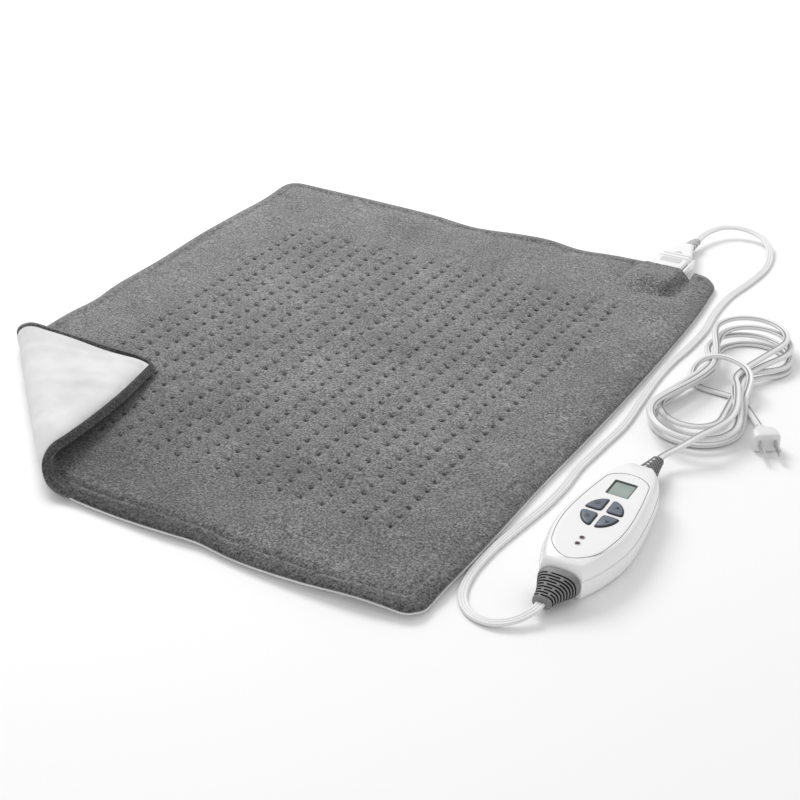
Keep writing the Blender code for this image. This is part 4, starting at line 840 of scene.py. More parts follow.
def tufted(points, settings):
    """Depth of the tufts and of the soft gather round each, and the painted shade in their pits."""
    depth, pit_shade = np.zeros(len(points)), np.zeros(len(points))
    reach = 9 * MM
    order = np.argsort(points[:, 0])
    sorted_x = points[order, 0]
    for x, y, size in dimple_places(settings):
        first, last = np.searchsorted(sorted_x, (x - reach, x + reach))
        near = order[first:last]
        near = near[np.abs(points[near, 1] - y) < reach]
        away = np.hypot(points[near, 0] - x, points[near, 1] - y) / MM
        depth[near] += size * (1.9 * np.exp(-(away / 1.5) ** 2) + 1.1 * np.exp(-(away / 4.2) ** 2))
        # Painted shade that darkens the middle of each pit.
        pit_shade[near] = np.maximum(pit_shade[near], np.exp(-(away / 1.9) ** 2))
    return depth * MM, pit_shade


def hem_line(x, front, settings):
    """Distance of the sewn line from the edge, a little wavy along the front, and how near that is."""
    near = 1 - smooth_share(front, 30 * MM, 60 * MM)
    wave = 1.1 * np.sin(x / (17 * MM)) + 0.8 * np.sin(x / (41 * MM) + 1.0)
    return settings.hem_width + near * wave * MM, near


def plush_height(plan, x, y, edge, settings):
    """Height of the plush over the flat pad, without the tufts."""
    turned = past_fold(plan, settings)
    seam = settings.seam_height - TURNED_SEAM_DROP * turned
    crest = settings.hem_height + settings.seam_height + TURNED_HEM_RISE * turned
    rim = np.sqrt(1 - (1 - np.clip(edge / settings.hem_width, 0, 1)) ** 2)
    hem = seam + (crest - seam) * rim
    _, _, front, _ = side_distances(x, y, settings)
    line, near_front = hem_line(x, front, settings)
    sewn = 0.2 + 0.8 * near_front
    ridge = 1.5 * MM * sewn * np.exp(-((edge - line) / (1.5 * MM)) ** 2)
    groove = 2.3 * MM * sewn * np.exp(-((edge - line - 4.0 * MM) / (2.4 * MM)) ** 2)
    rise = (settings.thickness - crest) * smooth_share(edge, settings.hem_width, 34 * MM)
    u, v = plan[:, 0] / MM, plan[:, 1] / MM
    waves = sum(height * np.sin(u / across + v / along + phase)
                for height, across, along, phase in PLUSH_WAVES)
    return hem + ridge - groove + rise + waves * MM * smooth_share(edge, 3 * MM, 30 * MM) \
        + edge_lift(x, y, settings)


SOCKET_MARGIN = 7 * MM
UNDERSIDE_STEP = 2.9 * MM


class PAD_OT_plush(bpy.types.Operator):
    """Grey plush top with rows of small tufts, a rolled hem and the turned-over corner"""
    bl_idname = "heating_pad.plush"
    bl_label = "Plush Top"

    def execute(self, context):
        settings = context.scene.pad_soft
        half_x, half_y = settings.width / 2, settings.length / 2
        columns = [settings.dimple_start[0] + i * settings.dimple_pitch[0]
                   for i in range(settings.dimple_columns)]
        rows = [settings.dimple_start[1] - i * settings.dimple_pitch[1]
                for i in range(settings.dimple_rows)]
        edge = [step * MM for step in (0, 0.35, 1.0, 2.2, 4.0, 6.2, 8.6, 10.4, 12, 13.6, 15.4,
                                       17.6, 21, 26)]
        opening = self.opening(settings)
        steps = [step * MM for step in (0, 1.1, 2.3, 4.2, 6.9)]
        x_lines = grid_lines(-half_x, half_x, columns, steps, 5 * MM, edge)
        y_lines = grid_lines(-half_y, half_y, rows, steps, 5 * MM, edge)
        for lines, place in zip((x_lines, x_lines, y_lines), opening):
            lines[np.argmin(abs(lines - place))] = place
        bm = bmesh.new()
        spaced_grid(bm, x_lines, y_lines)
        inside = [face for face in bm.faces
                  if opening[0] < face.calc_center_median().x < opening[1]
                  and face.calc_center_median().y > opening[2]]
        bmesh.ops.delete(bm, geom=inside, context="FACES")
        self.turn_under(bm, opening, settings)
        final, shade = self.shape(read_points(bm), opening, settings)
        write_points(bm, fold_over(final, settings))
        piece = finish_piece(bm, "plush_top", "grey_plush", PAD, 70)
        set_values(piece.data, "shade", shade)
        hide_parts("top_cover")
        return {"FINISHED"}

    def opening(self, settings):
        """Left, right and front of the opening for the socket in the back edge."""
        low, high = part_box("socket_shell")
        return low[0] - SOCKET_MARGIN, high[0] + SOCKET_MARGIN, low[1] - 2 * MM

    def turn_under(self, bm, opening, settings):
        """Two rings that turn the edge under, and a flat underside cut across where it folds."""
        half_x, half_y = settings.width / 2, settings.length / 2
        for level, inset in ((1, 2.4 * MM), (2, 3.4 * MM)):
            rim = [edge for edge in bm.edges if edge.is_boundary]
            step = inset if level == 1 else 1.0 * MM
            for vert in verts_of(bmesh.ops.extrude_edge_only(bm, edges=rim)):
                x, y = vert.co.x, vert.co.y
                if opening[0] - 4 * MM < x < opening[1] + 4 * MM and y > opening[2] - 4 * MM:
                    x += step if x > (opening[0] + opening[1]) / 2 + 22 * MM else 0
                    x -= step if x < (opening[0] + opening[1]) / 2 - 22 * MM else 0
                    y -= step if y < opening[2] + 0.5 * MM else 0
                vert.co.x = min(max(x, -half_x + inset), half_x - inset)
                vert.co.y = min(max(y, -half_y + inset), half_y - inset)
                vert.co.z = level
        rim = [edge for edge in bm.edges if edge.is_boundary]
        under = bmesh.ops.edgeloop_fill(bm, edges=rim)["faces"]
        start = Vector((*settings.fold_start, 0.0))
        along = (Vector((*settings.fold_end, 0.0)) - start).normalized()
        across = Vector((along.y, -along.x, 0.0))
        for cut in range(-1, 15):
            geometry = dict.fromkeys(under)
            for face in under:
                geometry |= dict.fromkeys(face.verts) | dict.fromkeys(face.edges)
            made = bmesh.ops.bisect_plane(bm, geom=list(geometry), dist=WELD,
                                          plane_co=start + across * (cut * UNDERSIDE_STEP),
                                          plane_no=across)
            under = [item for item in made["geom"] if isinstance(item, bmesh.types.BMFace)]

    def shape(self, points, opening, settings):
        """Flat shape of every point from its place on the grid and its level."""
        x, y, level = points[:, 0], points[:, 1], points[:, 2]
        plan, edge, out = pad_plan(x, y, settings)
        middle = (opening[0] + opening[1]) / 2
        beside = np.maximum(np.abs(x - middle) - (opening[1] - opening[0]) / 2, opening[2] - y)
        near_edge = np.minimum(edge, np.clip(beside, 0, None) + 5 * MM)
        depth, pit_shade = tufted(points, settings)
        top = plush_height(plan, x, y, near_edge, settings) - depth
        turned = past_fold(plan, settings)
        bulge = (settings.hem_bulge + TURNED_BULGE * turned) * np.clip(edge / (0.9 * MM), 0, 1) \
            * np.exp(-(np.clip(edge - 1 * MM, 0, None) / (3.2 * MM)) ** 2)
        plan = plan + out * np.where(level < 0.5, bulge, 0.0)[:, None]
        seam = settings.seam_height - TURNED_SEAM_DROP * past_fold(plan, settings) \
            + edge_lift(x, y, settings)
        height = np.where(level < 0.5, top, np.where(level < 1.5, seam - 0.1 * MM, 6.0 * MM))
        front = side_distances(x, y, settings)[2]
        line, near_front = hem_line(x, front, settings)
        # Darker band along the hem, strongest at the front: partly the hem's denser nap, partly painted
        # shade on its shaded front.
        hem = (0.16 + 0.22 * near_front) * (1 - smooth_share(edge, 10 * MM, 22 * MM))
        # Painted shade: the plush darkens towards the front and the left, where the light falls off.
        front_left_shade = 0.40 * (1 - smooth_share(front, 20 * MM, 240 * MM)) \
            * (1 - 0.6 * smooth_share(x, -150 * MM, 150 * MM))
        # Painted highlight on the sewn ridge along the front hem, where the nap catches the light.
        light = 0.40 * near_front * np.exp(-((edge - line + 0.4 * MM) / (1.3 * MM)) ** 2)
        # Shade values for the plush: painted shade, with negative values as a painted highlight.
        shade = np.maximum(pit_shade, hem + front_left_shade) - light
        return np.column_stack((plan, height)), shade


class PAD_OT_pocket(bpy.types.Operator):
    """Plush raised over the socket, open towards the back"""
    bl_idname = "heating_pad.pocket"
    bl_label = "Socket Pocket"

    def execute(self, context):
        settings = context.scene.pad_soft
        low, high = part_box("socket_pocket")
        x_lines = np.arange(low[0] - 14 * MM, high[0] + 8 * MM, 1.5 * MM)
        y_lines = np.linspace(low[1] - 8 * MM, high[1] - 4.6 * MM, 46)
        bm = bmesh.new()
        spaced_grid(bm, x_lines, y_lines)
        for vert in doubled(bm, bm.faces[:]):
            vert.co.z = 1.0
        points = read_points(bm)
        points[:, 2] = np.where(points[:, 2] > 0.5, self.height(points, low, high, 0.0),
                                self.height(points, low, high, 1.5 * MM))
        write_points(bm, points)
        piece = finish_piece(bm, "plush_pocket", "grey_plush", PAD, 70)
        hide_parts("socket_pocket")
        places = np.array([vert.co[:] for vert in piece.data.vertices])
        # Painted shade on the steep right flank of the pocket, read by the plush material.
        set_values(piece.data, "shade", 0.35 * self.flank_shade(places, low, high))
        return {"FINISHED"}

    def sides(self, points, low, high):
        """Shares of the full height across and along the pocket."""
        x, y = points[:, 0], points[:, 1]
        back = smooth_share(y, low[1], high[1])
        left = low[0] - (9 - 5 * back) * MM
        left_width = (30 - 11 * back) * MM
        right = high[0] - 0.5 * MM
        right_width = (20 - 5 * back) * MM
        across = smooth_share(x, left, left + left_width) \
            * (1 - smooth_share(x, right - right_width, right))
        steep = smooth_share(x, low[0], high[0])
        along = smooth_share(y, low[1] - 6 * MM, low[1] + (34 - 14 * steep) * MM)
        return across, along

    def height(self, points, low, high, wall):
        across, along = self.sides(points, low, high)
        share = across * along
        x, y = points[:, 0] / MM, points[:, 1] / MM
        wrinkles = 0.35 * np.sin((x - 0.6 * y) / 1.9) \
            * np.exp(-((x - 192) / 13) ** 2 - ((y - 278) / 9) ** 2)
        base = 6.2 * MM
        top = base + (high[2] - 2.9 * MM - base) * share**0.8 + wrinkles * MM
        return top - wall

    # Painted shade: how much each point on the pocket's steep right flank is darkened.
    def flank_shade(self, points, low, high):
        across, along = self.sides(points, low, high)
        share = across * along
        return np.clip(4 * share * (1 - share), 0, 1) * smooth_share(points[:, 0], 205 * MM, 225 * MM)


class PAD_OT_backing(bpy.types.Operator):
    """White backing under the pad, seen where the corner is turned over"""
    bl_idname = "heating_pad.backing"
    bl_label = "White Backing"

    def execute(self, context):
        settings = context.scene.pad_soft
        half_x, half_y = settings.width / 2, settings.length / 2
        edge = [step * MM for step in (0, 0.5, 1.4, 3, 5.5, 8.5, 12, 16, 20)]
        x_lines = grid_lines(-half_x, half_x, (), (), 4 * MM, edge)
        y_lines = grid_lines(-half_y, half_y, (), (), 4 * MM, edge)
        bm = bmesh.new()
        spaced_grid(bm, x_lines, y_lines)
        low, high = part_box("socket_shell")
        notch = [face for face in bm.faces
                 if low[0] - SOCKET_MARGIN < face.calc_center_median().x < high[0] + SOCKET_MARGIN
                 and face.calc_center_median().y > high[1] - 1 * MM]
        bmesh.ops.delete(bm, geom=notch, context="FACES")
        for vert in doubled(bm, bm.faces[:]):
            vert.co.z = 1.0
        points = read_points(bm)
        x, y, inner = points[:, 0], points[:, 1], points[:, 2] > 0.5
        plan, distance, out = pad_plan(x, y, settings)
        at_edge = 1 - smooth_share(distance, 0.0, 9 * MM)
        stand = (0.9 - 2.6 * past_fold(plan, settings)) * MM
        plan = plan + out * (stand * at_edge)[:, None]
        rise = (1.3 + 1.2 * past_fold(plan, settings)) * MM * at_edge + edge_lift(x, y, settings)
        under = rise - self.creases(plan, settings)
        over = np.maximum(under + 0.8 * MM, rise + 1.4 * MM)
        points = np.column_stack((plan, np.where(inner, over, under)))
        write_points(bm, fold_over(points, settings))
        piece = finish_piece(bm, "white_backing", "white_backing", PAD, 50)
        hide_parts("bottom_cover")
        return {"FINISHED"}

    def creases(self, plan, settings):
        """Soft creases in the turned-over corner, as heights out of the backing."""
        u, v = plan[:, 0] / MM, plan[:, 1] / MM
        start, end = np.array(settings.fold_start) / MM, np.array(settings.fold_end) / MM
        along = (end - start) / np.linalg.norm(end - start)
        past = (u - start[0]) * along[1] - (v - start[1]) * along[0]
        down = (u - start[0]) * along[0] + (v - start[1]) * along[1]
        soft = 0.9 * np.sin(down / 17.0 + past / 40.0 + 0.6) * np.sin(past / 26.0 + 0.8) \
            + 0.6 * np.sin(down / 9.0 - past / 13.0) * np.sin(past / 21.0)
        ridge = 1.7 * np.exp(-((down - 62 - 0.45 * past) / 5.5) ** 2) * smooth_share(past, 12, 45) \
            + 1.3 * np.exp(-((down - 130 - 0.25 * past) / 6.5) ** 2) * smooth_share(past, 10, 35)
        return (soft + ridge) * MM * smooth_share(past, 0, 40)


# ---------------------------------------------------------------- hard shapes

def loft(bm, rings, close_start=True, close_end=True):
    """A skin through rings of points, made by extruding one loop to the next."""
    loop = bmesh.ops.create_circle(bm, segments=len(rings[0]), radius=1.0,
                                   cap_ends=close_start)["verts"]
    for vert, point in zip(loop, rings[0]):
        vert.co = point
    for ring in rings[1:]:
        chosen = set(loop)
        edges = {edge: None for vert in loop for edge in vert.link_edges
                 if edge.other_vert(vert) in chosen}
        fresh = set(verts_of(bmesh.ops.extrude_edge_only(bm, edges=list(edges))))
        next_loop = [next(edge.other_vert(vert) for edge in vert.link_edges
                          if edge.other_vert(vert) in fresh) for vert in loop]
        for vert, point in zip(next_loop, ring):
            vert.co = point
        loop = next_loop
    if close_end:
        chosen = set(loop)
        edges = {edge: None for vert in loop for edge in vert.link_edges
                 if edge.other_vert(vert) in chosen}
        bmesh.ops.edgeloop_fill(bm, edges=list(edges))


def lofted_piece(name, rings, finish_name, smooth_angle, node=None, closed=True, weld=False):
    """A lofted piece of the cord set, in place of a CAD part if one is named."""
    bm = bmesh.new()
    loft(bm, rings, closed, closed)
    if weld:
        bmesh.ops.remove_doubles(bm, verts=bm.verts[:], dist=WELD)
    piece = finish_piece(bm, name, finish_name, CORD_SET, smooth_angle)
    if node:
        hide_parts(node)


def smooth_values(stations, count):
    """Sample rows of place and value on a smooth curve through them."""
    samples = []
    first, last = stations[0][0], stations[-1][0]
    for i in range(count):
        place = first + (last - first) * i / (count - 1)
        k = max(j for j in range(len(stations) - 1) if stations[j][0] <= place + 1e-12)
        p1, p2 = stations[k], stations[k + 1]
        p0, p3 = stations[max(k - 1, 0)], stations[min(k + 2, len(stations) - 1)]
        span = p2[0] - p1[0]
        t = (place - p1[0]) / span
        slope1 = (p2[1] - p0[1]) / (p2[0] - p0[0]) * span
        slope2 = (p3[1] - p1[1]) / (p3[0] - p1[0]) * span
        samples.append((place, (2 * t**3 - 3 * t**2 + 1) * p1[1] + (t**3 - 2 * t**2 + t) * slope1
                        + (3 * t**2 - 2 * t**3) * p2[1] + (t**3 - t**2) * slope2))
    return samples


def mirrored_outline(stations, centre_x, count):
    """An outline symmetric about X = centre_x, from half-widths along Y."""
    samples = smooth_values(stations, count)
    return [(centre_x + half, y) for y, half in samples] \
        + [(centre_x - half, y) for y, half in reversed(samples)]


def offset_outline(outline, distance):
    """The outline moved inwards."""
    moved = []
    for i, here in enumerate(outline):
        here = Vector(here)
        before, after = Vector(outline[i - 1]), Vector(outline[(i + 1) % len(outline)])
        first, second = (here - before).normalized(), (after - here).normalized()
        normal = Vector((-first.y - second.y, first.x + second.x)).normalized()
        reach = distance / max(0.6, normal.dot(Vector((-first.y, first.x))))
        moved.append((here.x + normal.x * reach, here.y + normal.y * reach))
    return moved


def at_height(outline, z):
    return [Vector((x, y, z)) for x, y in outline]


RING_SIDES = 64


def superellipse(centre, half_x, half_z, power=2.6, sides=RING_SIDES):
    """A ring in the XZ plane."""
    ring = []
    for i in range(sides):
        angle = 2 * math.pi * i / sides
        c, s = math.cos(angle), math.sin(angle)
        ring.append(Vector((centre[0] + half_x * math.copysign(abs(c) ** (2 / power), c), centre[1],
                            centre[2] + half_z * math.copysign(abs(s) ** (2 / power), s))))
    return ring


# ---------------------------------------------------------------- hand controller

# Share of the length and half-width of the case, in millimetres
CONTROLLER_ROWS = ((0.0, 16.5), (0.08, 22.0), (0.18, 27.0), (0.30, 30.6), (0.42, 31.4), (0.56, 29.8),
                   (0.72, 26.4), (0.86, 22.0), (0.95, 16.5), (1.0, 10.6))


def controller_place():
    """Middle X, front Y, length, height and parting height of the controller."""
    low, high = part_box("controller_bottom_shell")
    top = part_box("controller_top_shell")[1][2]
    return (low[0] + high[0]) / 2, low[1], high[1] - low[1], top, high[2]


def controller_stations():
    _, front, length, _, _ = controller_place()
    return [(front + share * length, half * MM) for share, half in CONTROLLER_ROWS]


# The face line's distance from the front and back of the case, and the length of its round ends
FACE_LINE_GAPS = (1.3 * MM, 14.8 * MM)
FACE_LINE_ENDS = (17 * MM, 11 * MM)


def plate_outline(inset, gaps=(-2.5 * MM, 12 * MM), ends=(22 * MM, 15 * MM), count=40):
    """The face plate follows the body's outline, with round ends."""
    middle, front_y, length, _, _ = controller_place()
    body = smooth_values(controller_stations(), 200)
    front = front_y + gaps[0] + inset
    back = front_y + length - gaps[1] - inset
    samples = []
    for i in range(count):
        y = front + (back - front) * (0.5 - 0.5 * math.cos(math.pi * (i + 0.35) / (count - 0.3)))
        half = float(np.interp(y, [row[0] for row in body], [row[1] for row in body])) - inset
        reach = min(1.0, (y - front) / ends[0], (back - y) / ends[1])
        samples.append((y, half * math.sqrt(1 - (1 - reach) ** 2)))
    return [(middle + half, y) for y, half in samples] \
        + [(middle - half, y) for y, half in reversed(samples)]


class PAD_OT_controller(bpy.types.Operator):
    """Glossy white case of the hand controller, with the line round its face plate"""
    bl_idname = "heating_pad.controller"
    bl_label = "Controller Case"

    def execute(self, context):
        middle, _, _, _, parting = controller_place()
        outline = mirrored_outline(controller_stations(), middle, 40)
        upper = ((0.35, parting + 0.15 * MM), (0.0, parting + 0.6 * MM), (0.05, 15.5 * MM),
                 (0.5, 18.4 * MM), (1.0, 21.2 * MM), (1.8, 23.6 * MM), (2.7, 25.5 * MM),
                 (3.7, 27.1 * MM), (4.5, 28.0 * MM), (5.2, 28.5 * MM))
        rings = [at_height(offset_outline(outline, inset * MM), z) for inset, z in upper]
        rings.append(at_height(plate_outline(6.8 * MM, FACE_LINE_GAPS, FACE_LINE_ENDS), 29.02 * MM))
        rings += [at_height(plate_outline(inset * MM), z * MM)
                  for inset, z in ((10.6, 29.12), (10.7, 28.9), (9.95, 28.3), (9.95, 27.6))]
        inner = [(9.0, 27.3), (5.2, 26.2), (3.4, 23.4), (2.3, 20.0), (1.9, 16.0),
                 (1.8, parting / MM + 0.15)]
        rings += [at_height(offset_outline(outline, inset * MM), z * MM) for inset, z in inner]
        lofted_piece("controller_case_top", rings + [rings[0]], "white_plastic", 50,
                     "controller_top_shell", closed=False, weld=True)
        lower = ((9.0, 0.0), (6.5, 0.0), (4.6, 0.35 * MM), (3.2, 0.95 * MM), (2.0, 1.9 * MM),
                 (1.1, 3.3 * MM), (0.5, 5.2 * MM), (0.15, 7.6 * MM), (0.0, 10.0 * MM),
                 (0.0, parting - 0.6 * MM), (0.35, parting - 0.15 * MM))
        lower += ((1.8, parting - 0.15 * MM), (1.9, 8.0 * MM), (2.6, 4.6 * MM), (4.2, 2.4 * MM),
                  (6.6, 1.7 * MM), (9.0, 1.7 * MM))
        rings = [at_height(offset_outline(outline, inset * MM), z) for inset, z in lower]
        lofted_piece("controller_case_bottom", rings, "white_plastic", 50,
                     "controller_bottom_shell", weld=True)
        line = [at_height(plate_outline(inset * MM, FACE_LINE_GAPS, FACE_LINE_ENDS), z * MM)
                for inset, z in ((6.95, 28.8), (7.0, 29.20), (7.4, 29.22), (7.45, 28.8), (6.95, 28.8))]
        lofted_piece("face_line", line, "seam_grey", 60, closed=False, weld=True)
        self.window_and_lamps()
        return {"FINISHED"}

    def window_and_lamps(self):
        low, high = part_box("display_window")
        plate_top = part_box("face_plate")[1][2]
        centre = ((low[0] + high[0]) / 2, (low[1] + high[1]) / 2)
        half = ((high[0] - low[0]) / 2, (high[1] - low[1]) / 2)
        rings = []
        for grow, z in ((0.3, plate_top + 0.05 * MM), (-0.1, plate_top + 0.05 * MM),
                        (-0.9, high[2] + 0.08 * MM), (-1.1, high[2] + 0.02 * MM)):
            ring = superellipse((0, 0, 0), half[0] + grow * MM, half[1] + grow * MM, 14.0, 72)
            rings.append([Vector((centre[0] + p.x, centre[1] + p.z, z)) for p in ring])
        lofted_piece("display_bevel", rings, "window_dark", 30, closed=False)
        for number in (1, 2):
            low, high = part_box(f"lamp_{number}")
            x, y = (low[0] + high[0]) / 2, (low[1] + high[1]) / 2
            section = ((1.75, plate_top), (1.85, plate_top + 0.28 * MM), (2.2, plate_top + 0.34 * MM),
                       (2.55, plate_top + 0.2 * MM), (2.7, plate_top - 0.05 * MM))
            rings = [[Vector((x + r * MM * math.cos(a), y + r * MM * math.sin(a), z))
                      for a in (2 * math.pi * i / 32 for i in range(32))] for r, z in section]
            lofted_piece(f"lamp_{number}_ring", rings, "lamp_ring", 60, closed=False)


# Each button and the quarter of the keypad that it fills
BUTTONS = (("power_button", -1, 1), ("heat_up_button", 1, 1),
           ("timer_button", -1, -1), ("heat_down_button", 1, -1))


CORNER_ROUNDS = 26


class PAD_OT_petals(bpy.types.Operator):
    """Four blue-grey petal buttons with plain symbols"""
    bl_idname = "heating_pad.petals"
    bl_label = "Petal Buttons"

    def execute(self, context):
        for name, side_x, side_y in BUTTONS:
            self.petal(name, side_x, side_y)
        return {"FINISHED"}

    def keypad(self):
        low = [min(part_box(name)[0][i] for name, _, _ in BUTTONS) for i in range(2)]
        high = [max(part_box(name)[1][i] for name, _, _ in BUTTONS) for i in range(2)]
        return (low[0] + high[0]) / 2, (low[1] + high[1]) / 2

    def outline(self, side_x, side_y, shrink):
        """One quarter of the keypad's ellipse with soft corners."""
        gap, half_x, half_y = 1.7 * MM, 15 * MM, 19.5 * MM
        top = half_y * math.sqrt(1 - (gap / half_x) ** 2)
        right = half_x * math.sqrt(1 - (gap / half_y) ** 2)
        raw = [(gap, gap), (right, gap)]
        start, end = math.atan2(gap / half_y, right / half_x), math.atan2(top / half_y, gap / half_x)
        for step in range(1, 18):
            angle = start + step / 18 * (end - start)
            raw.append((half_x * math.cos(angle), half_y * math.sin(angle)))
        raw.append((gap, top))
        even = self.even(raw + [raw[0]], 96)
        for _ in range(CORNER_ROUNDS):
            even = [((a[0] + 2 * b[0] + c[0]) / 4, (a[1] + 2 * b[1] + c[1]) / 4)
                    for a, b, c in zip([even[-1]] + even, even, even[1:] + even[:1])]
        moved = offset_outline(even, shrink)
        centre = self.keypad()
        placed = [(centre[0] + side_x * x, centre[1] + side_y * y) for x, y in moved]
        return placed if side_x * side_y > 0 else placed[::-1]

    def even(self, raw, count):
        points = np.array(raw)
        run = np.concatenate(([0], np.cumsum(np.hypot(*np.diff(points, axis=0).T))))
        at = np.linspace(0, run[-1], count, endpoint=False)
        return list(zip(np.interp(at, run, points[:, 0]), np.interp(at, run, points[:, 1])))

    def petal(self, name, side_x, side_y):
        low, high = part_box(name)
        top = high[2]
        bm = bmesh.new()
        rows = ((0.0, top - 3.0 * MM), (0.0, top - 0.9 * MM), (0.15, top - 0.55 * MM),
                (0.55, top - 0.3 * MM), (0.75, top - 0.32 * MM), (0.9, top - 0.12 * MM),
                (1.3, top))
        loft(bm, [at_height(self.outline(side_x, side_y, inset * MM), z) for inset, z in rows])
        for face in bm.faces:
            face.material_index = 1 if face.calc_center_median().z < top - 0.22 * MM else 0
        centre = Vector(((low[0] + high[0]) / 2 - side_x * 0.3 * MM,
                         (low[1] + high[1]) / 2 - side_y * 0.6 * MM, top - 0.05 * MM))
        piece = finish_piece(bm, f"{name}_petal", "petal_blue", name, 50)
        piece.data.materials.append(finish("petal_rim"))
        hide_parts(name)
        bm = bmesh.new()
        if name == "power_button":
            self.arc(bm, centre, 1.9 * MM, 0.55 * MM, 125, 415)
            self.bar(bm, centre + Vector((0, 1.3 * MM, 0)), 0.6 * MM, 2.2 * MM)
        elif name == "timer_button":
            self.arc(bm, centre, 1.9 * MM, 0.45 * MM, 0, 360)
            self.bar(bm, centre + Vector((0, 0.55 * MM, 0)), 0.45 * MM, 1.3 * MM)
            self.bar(bm, centre + Vector((0.45 * MM, 0, 0)), 1.1 * MM, 0.45 * MM)
        else:
            made = bmesh.ops.create_circle(bm, segments=3, radius=2.1 * MM, cap_ends=True)["verts"]
            turn = Matrix.Rotation(math.pi if name == "heat_down_button" else 0.0, 4, "Z")
            bmesh.ops.transform(bm, verts=made, matrix=Matrix.Translation(centre) @ turn)
        bmesh.ops.translate(bm, verts=doubled(bm, bm.faces[:]), vec=(0, 0, 0.15 * MM))
        finish_piece(bm, f"{name}_symbol", "icon_dark", name, 30)

    def arc(self, bm, centre, radius, width, start, end):
        start_vert = bm.verts.new(centre + Vector((radius - width / 2, 0, 0)))
        end_vert = bm.verts.new(centre + Vector((radius + width / 2, 0, 0)))
        edge = bm.edges.new((start_vert, end_vert))
        bmesh.ops.rotate(bm, verts=[start_vert, end_vert], cent=centre,
                         matrix=Matrix.Rotation(math.radians(start), 3, "Z"))
        bmesh.ops.spin(bm, geom=[start_vert, end_vert, edge], cent=centre, axis=(0, 0, 1),
                       angle=math.radians(end - start), steps=28, use_merge=end - start == 360)

    def bar(self, bm, centre, width, length):
        made = bmesh.ops.create_grid(bm, x_segments=1, y_segments=1, size=0.5)["verts"]
        bmesh.ops.scale(bm, verts=made, vec=(width, length, 1.0))
        bmesh.ops.translate(bm, verts=made, vec=centre + Vector((0, 0, 0.01 * MM)))


SLOT_SIZE = 0.84


